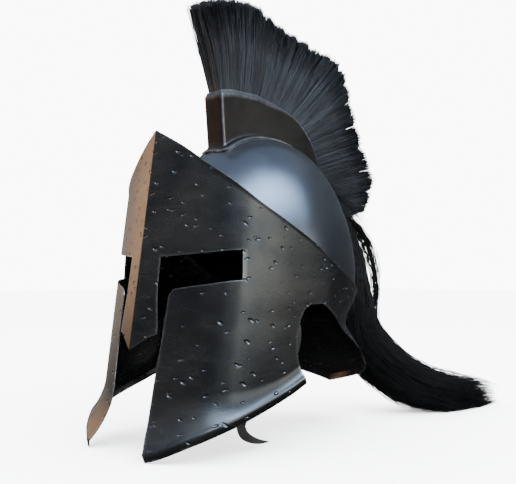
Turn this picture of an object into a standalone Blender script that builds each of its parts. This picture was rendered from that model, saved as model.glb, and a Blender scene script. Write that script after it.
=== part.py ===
"""A crested steel helmet in the old Greek manner, built from formed sheet, leather and hair.

The helmet faces -Y, its left side is +X and +Z is up. Its pieces are drawn about the crown:
their zero is where the dome's inside is highest. All of them ride on the empty named helmet,
which stands the whole on the world's origin. Sizes are in metres, and angles round the helmet
are measured from the front ridge.
"""

import bmesh
import bpy
import numpy as np

# ---- driving dimensions -------------------------------------------------------------------

WALL = 0.0014
GAP = 0.0004
TABLE_Z = -0.3320
FOOTPRINT_MIDDLE_Y = 0.0914

RIDGE_TOP = 0.1415
RIDGE_LEAN = 0.149
PEAK_Z = -0.005
FACE_SWEEP = np.radians(14.0)
FACE_BEND = 1.4
CHEEK_SQUARENESS = 14.0
SIDE_OVAL_LENGTH = 0.80
NAPE_PINCH = 0.010
NAPE_Z = -0.210
NAPE_SPREAD = 0.023

# Plan of the mask's shell at each height: half width at the sides, reach to the rear.
SHELL = {
    "height": (0.0, -0.060, -0.130, -0.172, -0.205, -0.260, -0.335),
    "half_width": (0.1020, 0.1075, 0.1100, 0.1100, 0.1095, 0.1095, 0.1095),
    "rear": (0.1230, 0.1270, 0.1290, 0.1280, 0.1200, 0.1190, 0.1190),
}
# Lines that run round the mask, by angle from the ridge.
RIMS = {
    "angle": (0, 15, 28, 37, 49, 62, 81, 100, 122, 140, 160, 180),
    "top": (-0.005, -0.0245, -0.0455, -0.0600, -0.0828, -0.1008, -0.1222, -0.1455, -0.1640,
            -0.1720, -0.1750, -0.1760),
    "bottom": (-0.3340, -0.3310, -0.3140, -0.3020, -0.2877, -0.2750, -0.2575, -0.2535, -0.2600,
               -0.2675, -0.2780, -0.2890),
    "flare_height": (0.058, 0.058, 0.046, 0.036, 0.026, 0.022, 0.022, 0.042, 0.049, 0.056, 0.066,
                     0.077),
    "flare_reach": (0.017, 0.017, 0.013, 0.010, 0.008, 0.007, 0.008, 0.011, 0.0135, 0.0135,
                    0.0135, 0.0135),
    "flare_power": (1.8, 1.8, 1.8, 1.8, 1.8, 1.8, 1.8, 1.4, 0.9, 0.9, 0.9, 0.9),
}
EYE_TOP = {
    "angle": (0, 9, 26, 41.5, 60, 81, 100, 122, 140, 180),
    "height": (-0.1370, -0.1360, -0.1330, -0.1300, -0.1400, -0.1520, -0.1630, -0.1790, -0.1860,
               -0.1890),
}
EYE_BOTTOM = {
    "angle": (0, 9, 14, 14.8, 16, 18, 29, 42, 60, 74, 90, 122, 180),
    "height": (-0.1720, -0.1720, -0.1750, -0.1705, -0.1680, -0.1670, -0.1630, -0.1590, -0.1720,
               -0.1850, -0.1850, -0.2000, -0.2060),
}
NASAL_END = {
    "angle": (0, 11, 16, 60, 90, 122, 180),
    "height": (-0.2290, -0.2130, -0.2130, -0.2150, -0.2200, -0.2240, -0.2300),
}
# Lines that run down the mask. The first two are half widths, the others angles.
NASAL_EDGE = {
    "height": (0.0, -0.060, -0.130, -0.172, -0.213, -0.240),
    "half_width": (0.0242, 0.0242, 0.0243, 0.0256, 0.0304, 0.0304),
}
CHEEK_EDGE = {
    "height": (0.0, -0.130, -0.172, -0.213, -0.263, -0.280, -0.300, -0.314, -0.331),
    "half_width": (0.0382, 0.0382, 0.0383, 0.0367, 0.0336, 0.0331, 0.0356, 0.0386, 0.0447),
}
EYE_OUTER_ANGLE = 41.6
EAR_FRONT = {
    "height": (0.0, -0.180, -0.185, -0.188, -0.193, -0.205, -0.220, -0.236, -0.253, -0.265),
    "angle": (78, 78, 77, 74, 71.5, 69, 67.6, 67.8, 70, 72),
}
EAR_REAR = {
    "height": (0.0, -0.180, -0.185, -0.188, -0.192, -0.198, -0.2184, -0.2271, -0.2389, -0.2548,
               -0.266),
    "angle": (86, 86, 87, 90, 93, 97, 112, 120, 130, 134, 136),
}

DOME_EQUATOR_Z = -0.150
DOME_RISE = 0.1515
DOME_HALF_WIDTH = 0.105
DOME_FRONT = 0.124
DOME_REAR = 0.128
DOME_PLAN_POWER = 2.4
DOME_HEIGHT_POWER = 1.67
DOME_LAP = 0.009
DOME_BROW_Z = -0.112
LAP_GAP = 0.0009

BOX_HALF_WIDTH = 0.014
BOX_FRONT_Y = -0.059
BOX_REAR_Y = 0.0985
BOX_LEAN = 0.0065
BOX_SPREAD = 0.09
BOX_CORNER = 0.003
BOX_WALL = 0.0014
BOX_FLANGE = 0.008
BOX_TOP = {
    "y": (-0.066, -0.041, -0.011, 0.008, 0.030, 0.052, 0.069, 0.083, 0.093, 0.0985),
    "height": (0.047, 0.050, 0.050, 0.046, 0.040, 0.031, 0.018, 0.001, -0.022, -0.043),
}

# The fan of hair: its roots along the dome and its tips, front to rear.
FAN = {
    "share": (0.0, 0.10, 0.20, 0.30, 0.40, 0.50, 0.60, 0.68, 0.76, 0.84, 0.92, 1.0),
    "root_y": (-0.050, -0.040, -0.026, -0.011, 0.004, 0.020, 0.036, 0.047, 0.057, 0.066, 0.073,
               0.079),
    "rim_y": (-0.0610, -0.047, -0.031, -0.014, 0.003, 0.018, 0.034, 0.047, 0.059, 0.070, 0.080,
              0.087),
    "tip_y": (-0.092, -0.058, -0.019, 0.016, 0.054, 0.094, 0.131, 0.152, 0.167, 0.185, 0.206,
              0.189),
    "tip_z": (0.142, 0.151, 0.153, 0.142, 0.130, 0.123, 0.114, 0.094, 0.055, 0.013, -0.030,
              -0.071),
}
FAN_LOCKS = 15
FAN_ROOT_HALF = 0.0095
FAN_WIDE_HALF = 0.0175
FAN_TIP_HALF = 0.007

# The hair that hangs behind: its middle line and how wide and deep the bunch is there.
TAIL = {
    "x": (0.000, 0.000, 0.000, 0.000, 0.001, 0.004, 0.013, 0.034, 0.060, 0.077, 0.083, 0.087),
    "y": (0.091, 0.115, 0.140, 0.160, 0.168, 0.174, 0.184, 0.200, 0.227, 0.278, 0.328, 0.374),
    "z": (-0.033, -0.052, -0.090, -0.132, -0.175, -0.215, -0.246, -0.273, -0.301, -0.318,
          -0.322, -0.324),
    "half_wide": (0.008, 0.013, 0.018, 0.023, 0.027, 0.030, 0.033, 0.037, 0.038, 0.0365, 0.030,
                  0.015),
    "half_deep": (0.006, 0.011, 0.020, 0.026, 0.028, 0.0305, 0.034, 0.035, 0.0365, 0.0385,
                  0.035, 0.019),
}
TAIL_LOCKS = 7

STRAP_WIDTH = 0.016
STRAP_THICKNESS = 0.0022
STRAP_ANCHOR_Y = -0.045
STRAP_ANCHOR_Z = -0.215
STRAP_SWING = 0.033
STRAP_HALF_SPAN = 0.1061
STRAP_DROP = 0.084
STRAP_END_TURN = 0.11
# The free end below the buckle: x, y, z, how far it faces sideways, and its share of the width.
FREE_END = (
    (0.0648, -0.0720, -0.2885, 0.70, 1.00),
    (0.0695, -0.0800, -0.2950, 0.80, 0.95),
    (0.0745, -0.0885, -0.3005, 0.90, 0.85),
    (0.0780, -0.0945, -0.3065, 1.00, 0.74),
    (0.0797, -0.0925, -0.3135, 1.00, 0.64),
    (0.0798, -0.0840, -0.3195, 1.00, 0.50),
    (0.0795, -0.0715, -0.3240, 1.00, 0.32),
    (0.0790, -0.0580, -0.3262, 1.00, 0.08),
)
BUCKLE_TURN = np.radians(47.0)
BUCKLE_LENGTH = 0.006
BUCKLE_BAR = 0.002
RIVET_HEAD_RADIUS = 0.0048
RIVET_HEAD_HEIGHT = 0.0018
RIVET_SHANK_RADIUS = 0.0018


# ---- curves and meshes --------------------------------------------------------------------


def smooth_curve(at, xs, ys):
    """Cubic Hermite curve through the points, flat where they turn and clamped past the ends."""
    xs = np.asarray(xs, float)
    ys = np.asarray(ys, float)
    if xs[0] > xs[-1]:
        xs, ys = xs[::-1], ys[::-1]
    steps = np.diff(ys) / np.diff(xs)
    slopes = np.concatenate([steps[:1], (steps[:-1] + steps[1:]) / 2, steps[-1:]])
    turns = np.concatenate([[False], steps[:-1] * steps[1:] <= 0, [False]])
    slopes = np.where(turns, 0.0, slopes)
    at = np.clip(at, xs[0], xs[-1])
    i = np.clip(np.searchsorted(xs, at, side="right") - 1, 0, len(xs) - 2)
    width = xs[i + 1] - xs[i]
    t = (at - xs[i]) / width
    return (
        ys[i] * (1 + 2 * t) * (1 - t) ** 2
        + slopes[i] * width * t * (1 - t) ** 2
        + ys[i + 1] * t * t * (3 - 2 * t)
        + slopes[i + 1] * width * t * t * (t - 1)
    )


def smooth_step(value, start, end):
    t = np.clip((value - start) / (end - start), 0, 1)
    return t * t * (3 - 2 * t)


def by_angle(table, column, angle):
    return smooth_curve(np.degrees(np.abs(angle)), table["angle"], table[column])


def by_height(table, column, z):
    return smooth_curve(z, table["height"], table[column])


def material(name, color, roughness, metallic):
    made = bpy.data.materials.new(name)
    made.use_nodes = True
    shader = made.node_tree.nodes["Principled BSDF"]
    shader.inputs["Base Color"].default_value = (*color, 1)
    shader.inputs["Roughness"].default_value = roughness
    shader.inputs["Metallic"].default_value = metallic
    made.diffuse_color = (*color, 1)
    return made


def new_object(name, points, faces, finish, smooth_angle=35):
    mesh = bpy.data.meshes.new(name)
    mesh.from_pydata([tuple(p) for p in points], [], [tuple(f) for f in faces])
    mesh.validate()
    mesh.update()
    mesh.materials.append(finish)
    mesh.shade_smooth()
    mesh.set_sharp_from_angle(angle=np.radians(smooth_angle))
    made = bpy.data.objects.new(name, mesh)
    made.parent = bpy.data.objects["helmet"]
    bpy.context.scene.collection.objects.link(made)
    return made


def grid_faces(rows, columns, kept=None, closed=False):
    """Quads of a grid of points stored row by row; kept marks the cells that stay."""
    row, column = np.meshgrid(np.arange(rows - 1), np.arange(columns - (not closed)), indexing="ij")
    after = (column + 1) % columns
    a, b = row * columns + column, row * columns + after
    c, d = (row + 1) * columns + after, (row + 1) * columns + column
    quads = np.stack([a, d, c, b], axis=-1)
    return quads[kept] if kept is not None else quads.reshape(-1, 4)


def drop_unused(points, faces):
    used = np.unique(np.concatenate([np.ravel(face) for face in faces]))
    place = np.full(len(points), -1)
    place[used] = np.arange(len(used))
    return points[used], [place[np.asarray(face)].tolist() for face in faces]


def thicken(sheet, wall):
    solid = sheet.modifiers.new("wall", "SOLIDIFY")
    solid.thickness = wall
    solid.offset = -1
    solid.use_even_offset = True
    solid.use_rim = True


def face_outward(solid):
    work = bmesh.new()
    work.from_mesh(solid.data)
    bmesh.ops.recalc_face_normals(work, faces=work.faces)
    work.to_mesh(solid.data)
    work.free()


def loft(name, rings, finish, smooth_angle=35):
    """A closed solid through rings of equal length, with flat ends."""
    count, around = rings.shape[:2]
    faces = grid_faces(count, around, closed=True).tolist()
    faces.append(list(range(around)))
    faces.append(list(range((count - 1) * around, count * around))[::-1])
    made = new_object(name, rings.reshape(-1, 3), faces, finish, smooth_angle)
    face_outward(made)
    return made


def cut_out(target, cutter):
    cutter.hide_render = True
    cutter.display_type = "WIRE"
    cutter.hide_set(True)
    cut = target.modifiers.new("cut", "BOOLEAN")
    cut.operation = "DIFFERENCE"
    cut.object = cutter
    cut.solver = "EXACT"


# ---- the mask ------------------------------------------------------------------------------


def ridge_reach(z):
    return RIDGE_TOP + RIDGE_LEAN * (PEAK_Z - z)


def mask_radius(angle, z):
    """Distance of the mask's outer face from the vertical through the crown.

    Gently rounded panels swept back from the ridge are blended into an oval shell by a
    power mean. The nape is pinched in and the rims flare out.
    """
    angle = np.abs(angle)
    ahead, aside = np.cos(angle), np.sin(angle)
    length = np.where(ahead > 0, SIDE_OVAL_LENGTH, by_height(SHELL, "rear", z))
    oval = np.hypot(aside / by_height(SHELL, "half_width", z), ahead / length)
    reach = ridge_reach(z)
    slant = ahead + aside * np.tan(FACE_SWEEP)
    panel = (slant + np.sqrt(slant**2 + 4 * FACE_BEND * aside**2 * reach)) / (2 * reach)
    radius = (oval**CHEEK_SQUARENESS + panel**CHEEK_SQUARENESS) ** (-1 / CHEEK_SQUARENESS)
    behind = smooth_step(angle, np.radians(92), np.radians(135))
    pinch = NAPE_PINCH * behind * np.exp(-(((z - NAPE_Z) / NAPE_SPREAD) ** 2))
    rise = (z - by_angle(RIMS, "bottom", angle)) / by_angle(RIMS, "flare_height", angle)
    power = by_angle(RIMS, "flare_power", angle)
    flare = by_angle(RIMS, "flare_reach", angle) * (1 - np.clip(rise, 0, 1)) ** power
    return radius - pinch + flare


def polar_point(angle, radius, z):
    return np.stack([radius * np.sin(angle), -radius * np.cos(angle), z + 0 * radius], axis=-1)


def panel_angle(half_width, z):
    """Angle at which a face panel reaches this half width."""
    swept = half_width * np.tan(FACE_SWEEP) + FACE_BEND * half_width**2
    return np.arctan2(half_width, ridge_reach(z) - swept)


def mask_columns(z):
    """Angles of the lines that run down the mask, at these heights, one line for each row."""
    return np.stack([
        0 * z,
        panel_angle(by_height(NASAL_EDGE, "half_width", z), z),
        panel_angle(by_height(CHEEK_EDGE, "half_width", z), z),
        np.radians(EYE_OUTER_ANGLE) + 0 * z,
        np.radians(by_height(EAR_FRONT, "angle", z)),
        np.radians(by_height(EAR_REAR, "angle", z)),
        np.pi + 0 * z,
    ])


def mask_rows(angle):
    return np.stack([
        by_angle(RIMS, "top", angle),
        by_angle(EYE_TOP, "height", angle),
        by_angle(EYE_BOTTOM, "height", angle),
        by_angle(NASAL_END, "height", angle),
        by_angle(RIMS, "bottom", angle),
    ])


def between(lines, shares):
    """Values at fractional places among stacked lines."""
    low = np.minimum(shares.astype(int), len(lines) - 2)
    part = shares - low
    take = np.take_along_axis
    return (
        take(lines, low[None], 0)[0] * (1 - part) + take(lines, low[None] + 1, 0)[0] * part
    )


def spaced(counts):
    """Places along stacked lines: 0 to 1 in the first number of steps, 1 to 2 in the next."""
    ends = [i + np.arange(count) / count for i, count in enumerate(counts)]
    return np.append(np.concatenate(ends), len(counts))


def mask_grid(column_steps, row_steps):
    """Angles and heights where the mask's rows and columns cross, for its left half."""
    across, down = np.meshgrid(spaced(column_steps), spaced(row_steps))
    z = np.full(across.shape, -0.17)
    for _ in range(40):
        angle = between(mask_columns(z), across)
        z = 0.5 * z + 0.5 * between(mask_rows(angle), down)
    return across, down, angle, z


def make_mask(finish):
    across, down, angle, z = mask_grid((2, 2, 5, 4, 3, 11), (4, 3, 4, 5))
    column = (across[:-1, :-1] + across[1:, 1:]) / 2
    row = (down[:-1, :-1] + down[1:, 1:]) / 2
    eye = (column > 1) & (column < 3) & (row > 1) & (row < 2)
    mouth = (column > 1) & (column < 2) & (row > 2)
    chin = (column < 1) & (row > 3)
    ear = (column > 4) & (column < 5) & (row > 2)
    kept = ~(eye | mouth | chin | ear)
    left = polar_point(angle, mask_radius(angle, z), z)
    right = left[:, -2:0:-1] * (-1, 1, 1)
    points = np.concatenate([left, right], axis=1)
    kept = np.concatenate([kept, kept[:, ::-1]], axis=1)
    rows, columns = points.shape[:2]
    quads = grid_faces(rows, columns, kept, closed=True)
    points, faces = drop_unused(points.reshape(-1, 3), quads)
    mask = new_object("face_mask", points, faces, finish)
    thicken(mask, WALL)
    return mask


# ---- the dome and the crest box -----------------------------------------------------------


def dome_radius(angle, z):
    """Distance of the dome's outer face from its upright axis, kept inside the mask's lap."""
    rise = np.clip(np.abs(z - DOME_EQUATOR_Z) / DOME_RISE, 0, 1)
    scale = (1 - rise**DOME_HEIGHT_POWER) ** (1 / DOME_PLAN_POWER)
    ahead, aside = np.cos(angle), np.sin(angle)
    length = np.where(ahead > 0, DOME_FRONT, DOME_REAR)
    radius = scale / np.hypot(aside / DOME_HALF_WIDTH, ahead / length)
    lap = by_angle(RIMS, "top", angle) + 0.002
    limit = mask_radius(angle, z) - WALL - LAP_GAP
    return np.where(z < lap, np.minimum(radius, limit), radius)


def dome_height(x, y):
    """Height of the dome's outer face over a point of its plan."""
    length = np.where(y < 0, DOME_FRONT, DOME_REAR)
    reach = np.clip(np.hypot(x / DOME_HALF_WIDTH, y / length), 0, 1)
    rise = (1 - reach**DOME_PLAN_POWER) ** (1 / DOME_HEIGHT_POWER)
    return DOME_EQUATOR_Z + DOME_RISE * rise


def on_dome(plan, above):
    """Points this far off the dome's outer face, along its normal, from points of its plan."""
    x, y = plan[:, 0], plan[:, 1]
    step = 0.0005
    slope_x = (dome_height(x + step, y) - dome_height(x - step, y)) / (2 * step)
    slope_y = (dome_height(x, y + step) - dome_height(x, y - step)) / (2 * step)
    normal = np.column_stack([-slope_x, -slope_y, np.ones(len(x))])
    normal /= np.linalg.norm(normal, axis=1)[:, None]
    return np.column_stack([plan, dome_height(x, y)]) + normal * above


def make_dome(finish):
    around, rings = 52, 9
    angle = np.linspace(0, 2 * np.pi, around, endpoint=False)
    signed = (angle + np.pi) % (2 * np.pi) - np.pi
    hem = np.minimum(by_angle(RIMS, "top", signed) - DOME_LAP, DOME_BROW_Z)
    low = (hem - DOME_EQUATOR_Z) / DOME_RISE
    start = np.arcsin(np.sign(low) * np.abs(low) ** (DOME_HEIGHT_POWER / 2))
    share = np.linspace(0, 1, rings + 1)[1:, None]
    turn = np.pi / 2 + (start - np.pi / 2) * share
    height = np.sign(turn) * np.abs(np.sin(turn)) ** (2 / DOME_HEIGHT_POWER)
    z = DOME_EQUATOR_Z + DOME_RISE * height
    points = polar_point(signed, dome_radius(signed, z), z).reshape(-1, 3)
    crown = (0, 0, DOME_EQUATOR_Z + DOME_RISE)
    faces = grid_faces(rings, around, closed=True).tolist()
    faces += [[len(points), i, (i + 1) % around] for i in range(around)]
    dome = new_object("skull_dome", np.vstack([points, crown]), faces, finish)
    thicken(dome, WALL)
    return dome


def box_path():
    """Plan of the box's wall from its left rear end, round the front plate, to its right rear end."""
    side_y = BOX_REAR_Y + (BOX_FRONT_Y + BOX_CORNER - BOX_REAR_Y) * np.linspace(0, 1, 15)
    left = np.stack([np.full(15, BOX_HALF_WIDTH), side_y], axis=-1)
    turn = np.linspace(0, np.pi / 2, 4)[1:]
    inner = BOX_HALF_WIDTH - BOX_CORNER
    corner = np.stack([
        inner + BOX_CORNER * np.cos(turn),
        BOX_FRONT_Y + BOX_CORNER - BOX_CORNER * np.sin(turn),
    ], axis=-1)
    half = np.concatenate([left, corner])
    return np.concatenate([half, [[0, BOX_FRONT_Y]], half[::-1] * (-1, 1)])


def make_crest_box(finish):
    path = box_path()
    ahead = np.gradient(path, axis=0)
    outward = np.stack([-ahead[:, 1], ahead[:, 0]], axis=-1)
    outward /= np.linalg.norm(outward, axis=1)[:, None]
    outward[:15] = (1, 0)
    outward[-15:] = (-1, 0)
    lift = BOX_WALL + GAP

    edge = on_dome(path + outward * BOX_FLANGE, lift)
    foot = on_dome(path + outward * 0.0012, lift)
    heel = on_dome(path, lift + 0.0018)
    front = smooth_step(-path[:, 1], 0.020, -BOX_FRONT_Y)
    top_y = path[:, 1] - BOX_LEAN * front
    top_x = path[:, 0] * (1 + BOX_SPREAD * front)
    top_z = smooth_curve(top_y, BOX_TOP["y"], BOX_TOP["height"])
    top = np.column_stack([top_x, top_y, top_z])
    top[:, 2] = np.maximum(top[:, 2], heel[:, 2] + 0.003)
    rows = np.stack([top, (top * 2 + heel) / 3, (top + heel * 2) / 3, heel, foot, edge])
    faces = grid_faces(len(rows), len(path))[:, ::-1]
    box = new_object("crest_box", rows.reshape(-1, 3), faces.tolist(), finish)
    thicken(box, BOX_WALL)
    return box


# ---- the hair -------------------------------------------------------------------------------


def make_crest_plume(finish):
    """A fan of locks on a backing strip: each lock swells and stands a little past its neighbours."""
    samples = FAN_LOCKS * 6 + 1
    share = np.linspace(0, 1, samples)
    root_y = smooth_curve(share, FAN["share"], FAN["root_y"])
    root = np.stack([0 * share, root_y, dome_height(0, root_y) + 0.004], axis=-1)
    rim_y = smooth_curve(share, FAN["share"], FAN["rim_y"])
    rim_z = smooth_curve(rim_y, BOX_TOP["y"], BOX_TOP["height"]) + 0.003
    rim = np.stack([0 * share, rim_y, rim_z], axis=-1)
    tip = np.stack([
        0 * share,
        smooth_curve(share, FAN["share"], FAN["tip_y"]),
        smooth_curve(share, FAN["share"], FAN["tip_z"]),
    ], axis=-1)
    lock = np.abs(np.sin(np.pi * FAN_LOCKS * share))
    tip = rim + (tip - rim) * (0.955 + 0.045 * lock)[:, None]
    swell = 0.80 + 0.20 * lock
    ends = smooth_step(share, 0, 0.02) * smooth_step(1 - share, 0, 0.02)
    # From the root to the box's rim a lock is held narrow, and from there it swells to its tip.
    profile = (
        (root, rim, 0.0, FAN_ROOT_HALF, 0), (root, rim, 1.0, FAN_ROOT_HALF, 0),
        (rim, tip, 0.4, FAN_WIDE_HALF * 0.86, 1), (rim, tip, 0.8, FAN_WIDE_HALF, 1),
        (rim, tip, 1.0, FAN_TIP_HALF, 1),
    )
    rings = []
    for side in (1, -1):
        for start, end, along, half, free in profile[::side]:
            middle = start + (end - start) * along
            half_width = half * np.where(free, swell, 1) * (0.75 + 0.25 * ends)
            rings.append(middle + np.stack([side * half_width, 0 * share, 0 * share], axis=-1))
    rings = np.stack(rings, axis=1)
    return loft("crest_plume", rings, finish, 60)


def make_tail_plume(finish):
    """The hanging bunch: an oval rope of twisted locks that lies on the table at its end."""
    knots = np.linspace(0, 1, len(TAIL["x"]))
    share = np.linspace(0, 1, 49)
    line = {name: smooth_curve(share, knots, TAIL[name]) for name in TAIL}
    middle = np.stack([line["x"], line["y"], line["z"]], axis=-1)
    ahead = np.gradient(middle, axis=0)
    ahead /= np.linalg.norm(ahead, axis=1)[:, None]
    aside = np.cross(ahead, (0, 0, 1))
    aside /= np.linalg.norm(aside, axis=1)[:, None]
    above = np.cross(aside, ahead)
    turn = np.linspace(0, 2 * np.pi, 24, endpoint=False)
    loose = smooth_step(share, 0.12, 0.4)[:, None]
    ridges = 1 - 0.10 * loose * (1 - np.abs(np.cos(TAIL_LOCKS / 2 * (turn + 1.2 * share[:, None]))))
    rings = (
        middle[:, None]
        + aside[:, None] * (line["half_wide"][:, None] * np.cos(turn) * ridges)[..., None]
        + above[:, None] * (line["half_deep"][:, None] * np.sin(turn) * ridges)[..., None]
    )
    rings[..., 2] = np.maximum(rings[..., 2], TABLE_Z)
    return loft("tail_plume", rings, finish, 60)


# ---- the chin strap -------------------------------------------------------------------------


def strap_loop(turn, inset=0.0):
    """Middle of the strap under the chin: a half oval between the rivets, swung forward below."""
    return np.stack([
        (STRAP_HALF_SPAN - inset) * np.cos(turn),
        STRAP_ANCHOR_Y - STRAP_SWING * np.sin(turn) ** 2,
        STRAP_ANCHOR_Z - (STRAP_DROP - inset) * np.sin(turn),
    ], axis=-1)


def loop_outward(turn):
    out = np.stack([np.cos(turn) / STRAP_HALF_SPAN, 0 * turn, -np.sin(turn) / STRAP_DROP], axis=-1)
    return out / np.linalg.norm(out, axis=-1)[..., None]


def strap_band(name, middle, outward, width, finish):
    """A flat strap along a route, with its outer face turned outward at each point."""
    ahead = np.gradient(middle, axis=0)
    ahead /= np.linalg.norm(ahead, axis=1)[:, None]
    outward = outward - ahead * np.sum(outward * ahead, axis=1)[:, None]
    outward /= np.linalg.norm(outward, axis=1)[:, None]
    wide = np.cross(ahead, outward) * (width / 2)[:, None]
    thick = outward * STRAP_THICKNESS / 2
    rings = np.stack([
        middle + wide + thick, middle - wide + thick, middle - wide - thick, middle + wide - thick,
    ], axis=1)
    return loft(name, rings, finish, 30)


def make_straps(finish):
    """The left strap runs through the buckle to its free end, and the right one ends in it."""
    turn = np.linspace(-STRAP_END_TURN, BUCKLE_TURN + 0.10, 17)
    free_end = np.array(FREE_END)
    middle = np.concatenate([strap_loop(turn), free_end[:, :3]])
    slope = free_end[:, 3:4]
    outward = np.concatenate([loop_outward(turn), np.hstack([slope, 0 * slope, slope - 1])])
    width = STRAP_WIDTH * np.concatenate([np.ones(len(turn)), free_end[:, 4]])
    left = strap_band("chin_strap_left", middle, outward, width, finish)
    turn = np.linspace(BUCKLE_TURN - 0.12, np.pi + STRAP_END_TURN, 30)
    depth = (STRAP_THICKNESS + GAP) * (1 - smooth_step(turn, np.pi * 0.5, np.pi * 0.9))
    width = np.full(len(turn), STRAP_WIDTH)
    right = strap_band(
        "chin_strap_right", strap_loop(turn, depth), loop_outward(turn), width, finish,
    )
    for side, strap in ((1, left), (-1, right)):
        hole = cylinder(
            f"rivet_hole_{side}", RIVET_SHANK_RADIUS + GAP, 4 * STRAP_THICKNESS,
            (side * STRAP_HALF_SPAN, STRAP_ANCHOR_Y, STRAP_ANCHOR_Z), finish,
        )
        cut_out(strap, hole)


def cylinder(name, radius, length, middle, finish):
    """A round bar along X."""
    turn = np.linspace(0, 2 * np.pi, 16, endpoint=False)
    ring = np.stack([0 * turn, radius * np.cos(turn), radius * np.sin(turn)], axis=-1)
    rings = np.stack([ring + (x, 0, 0) for x in (-length / 2, length / 2)]) + middle
    return loft(name, rings, finish)


def make_rivets(finish):
    """A low head inside the strap and a shank through it that stops just short of the mask."""
    inner = STRAP_HALF_SPAN - STRAP_THICKNESS / 2 - GAP
    tip = STRAP_HALF_SPAN + STRAP_THICKNESS / 2 + GAP / 2
    profile = (
        (inner - RIVET_HEAD_HEIGHT, 0.55), (inner - RIVET_HEAD_HEIGHT * 0.6, 0.85), (inner, 1.0),
    )
    turn = np.linspace(0, 2 * np.pi, 16, endpoint=False)
    for side, word in ((1, "left"), (-1, "right")):
        sizes = [(x, share * RIVET_HEAD_RADIUS) for x, share in profile]
        sizes += [(inner, RIVET_SHANK_RADIUS), (tip, RIVET_SHANK_RADIUS)]
        rings = np.array([
            np.stack([side * x + 0 * turn, radius * np.cos(turn), radius * np.sin(turn)], axis=-1)
            for x, radius in sizes
        ])
        rings += (0, STRAP_ANCHOR_Y, STRAP_ANCHOR_Z)
        loft(f"strap_rivet_{word}", rings, finish)


def make_buckle(finish):
    """A plain flat ring round both straps."""
    middle = strap_loop(BUCKLE_TURN, (STRAP_THICKNESS + GAP) / 2)
    before, after = strap_loop(BUCKLE_TURN + np.array((-0.01, 0.01)), (STRAP_THICKNESS + GAP) / 2)
    ahead = (after - before) / np.linalg.norm(after - before)
    outward = loop_outward(BUCKLE_TURN)
    outward = outward - ahead * (outward @ ahead)
    outward /= np.linalg.norm(outward)
    wide = np.cross(ahead, outward)
    half_wide = STRAP_WIDTH / 2 + 2 * GAP
    half_deep = STRAP_THICKNESS + GAP * 1.5
    bar = BUCKLE_BAR
    rings = np.array([
        middle
        + side * wide * (half_wide + outer * bar)
        + face * outward * (half_deep + outer * bar)
        + ahead * end * BUCKLE_LENGTH / 2
        for side, face in ((1, 1), (-1, 1), (-1, -1), (1, -1))
        for outer, end in ((0, -1), (1, -1), (1, 1), (0, 1))
    ])
    faces = grid_faces(5, 4, closed=True) % 16
    buckle = new_object("strap_buckle", rings, faces.tolist(), finish)
    face_outward(buckle)


def main():
    for old in list(bpy.data.objects):
        bpy.data.objects.remove(old, do_unlink=True)
    helmet = bpy.data.objects.new("helmet", None)
    helmet.location = (0, -FOOTPRINT_MIDDLE_Y, -TABLE_Z)
    bpy.context.scene.collection.objects.link(helmet)
    steel = material("blackened_steel", (0.045, 0.048, 0.050), 0.34, 1.0)
    dome_steel = material("blued_steel", (0.075, 0.090, 0.115), 0.28, 1.0)
    box_steel = material("dark_steel", (0.030, 0.027, 0.027), 0.40, 1.0)
    hair = material("black_hair", (0.020, 0.022, 0.026), 0.60, 0.0)
    leather = material("brown_leather", (0.060, 0.038, 0.026), 0.65, 0.0)
    make_dome(dome_steel)
    make_mask(steel)
    make_crest_box(box_steel)
    make_crest_plume(hair)
    make_tail_plume(hair)
    make_straps(leather)
    make_buckle(box_steel)
    make_rivets(box_steel)


main()
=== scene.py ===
"""The looks of a crested steel helmet: sheet metal, hair, leather, and the studio round it.

The helmet faces -Y and its left side is +X. Shapes are worked out about the crown, the point
where the dome's inside is highest, and moved to the frame's place for it at the end.
"""

import logging
import math
from dataclasses import dataclass
from enum import Enum

import bmesh
import bpy
import numpy as np
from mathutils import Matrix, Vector
from numpy.typing import NDArray


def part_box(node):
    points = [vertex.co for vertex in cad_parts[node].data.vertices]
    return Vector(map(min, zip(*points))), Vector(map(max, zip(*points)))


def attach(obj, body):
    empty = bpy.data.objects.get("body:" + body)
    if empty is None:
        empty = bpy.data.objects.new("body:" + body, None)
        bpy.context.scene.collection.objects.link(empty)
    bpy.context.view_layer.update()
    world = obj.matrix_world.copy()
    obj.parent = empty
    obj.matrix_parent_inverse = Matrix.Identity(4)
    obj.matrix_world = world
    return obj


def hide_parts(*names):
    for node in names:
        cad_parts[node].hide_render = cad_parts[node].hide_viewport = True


Array = NDArray[np.float64]
Mask = NDArray[np.bool_]
Colour = tuple[float, float, float]
Point = tuple[float, float, float]
Socket = bpy.types.NodeSocket
Inputs = dict[str | int, object]

LOG = logging.getLogger("helmet")
BODY = "root"

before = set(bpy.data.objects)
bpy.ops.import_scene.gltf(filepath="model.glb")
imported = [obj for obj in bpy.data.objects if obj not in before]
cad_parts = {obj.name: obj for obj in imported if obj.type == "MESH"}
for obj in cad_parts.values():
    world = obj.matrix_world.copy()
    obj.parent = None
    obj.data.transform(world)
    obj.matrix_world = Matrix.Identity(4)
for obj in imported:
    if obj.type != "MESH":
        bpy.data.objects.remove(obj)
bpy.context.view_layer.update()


# ---- curves ---------------------------------------------------------------------------------


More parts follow.
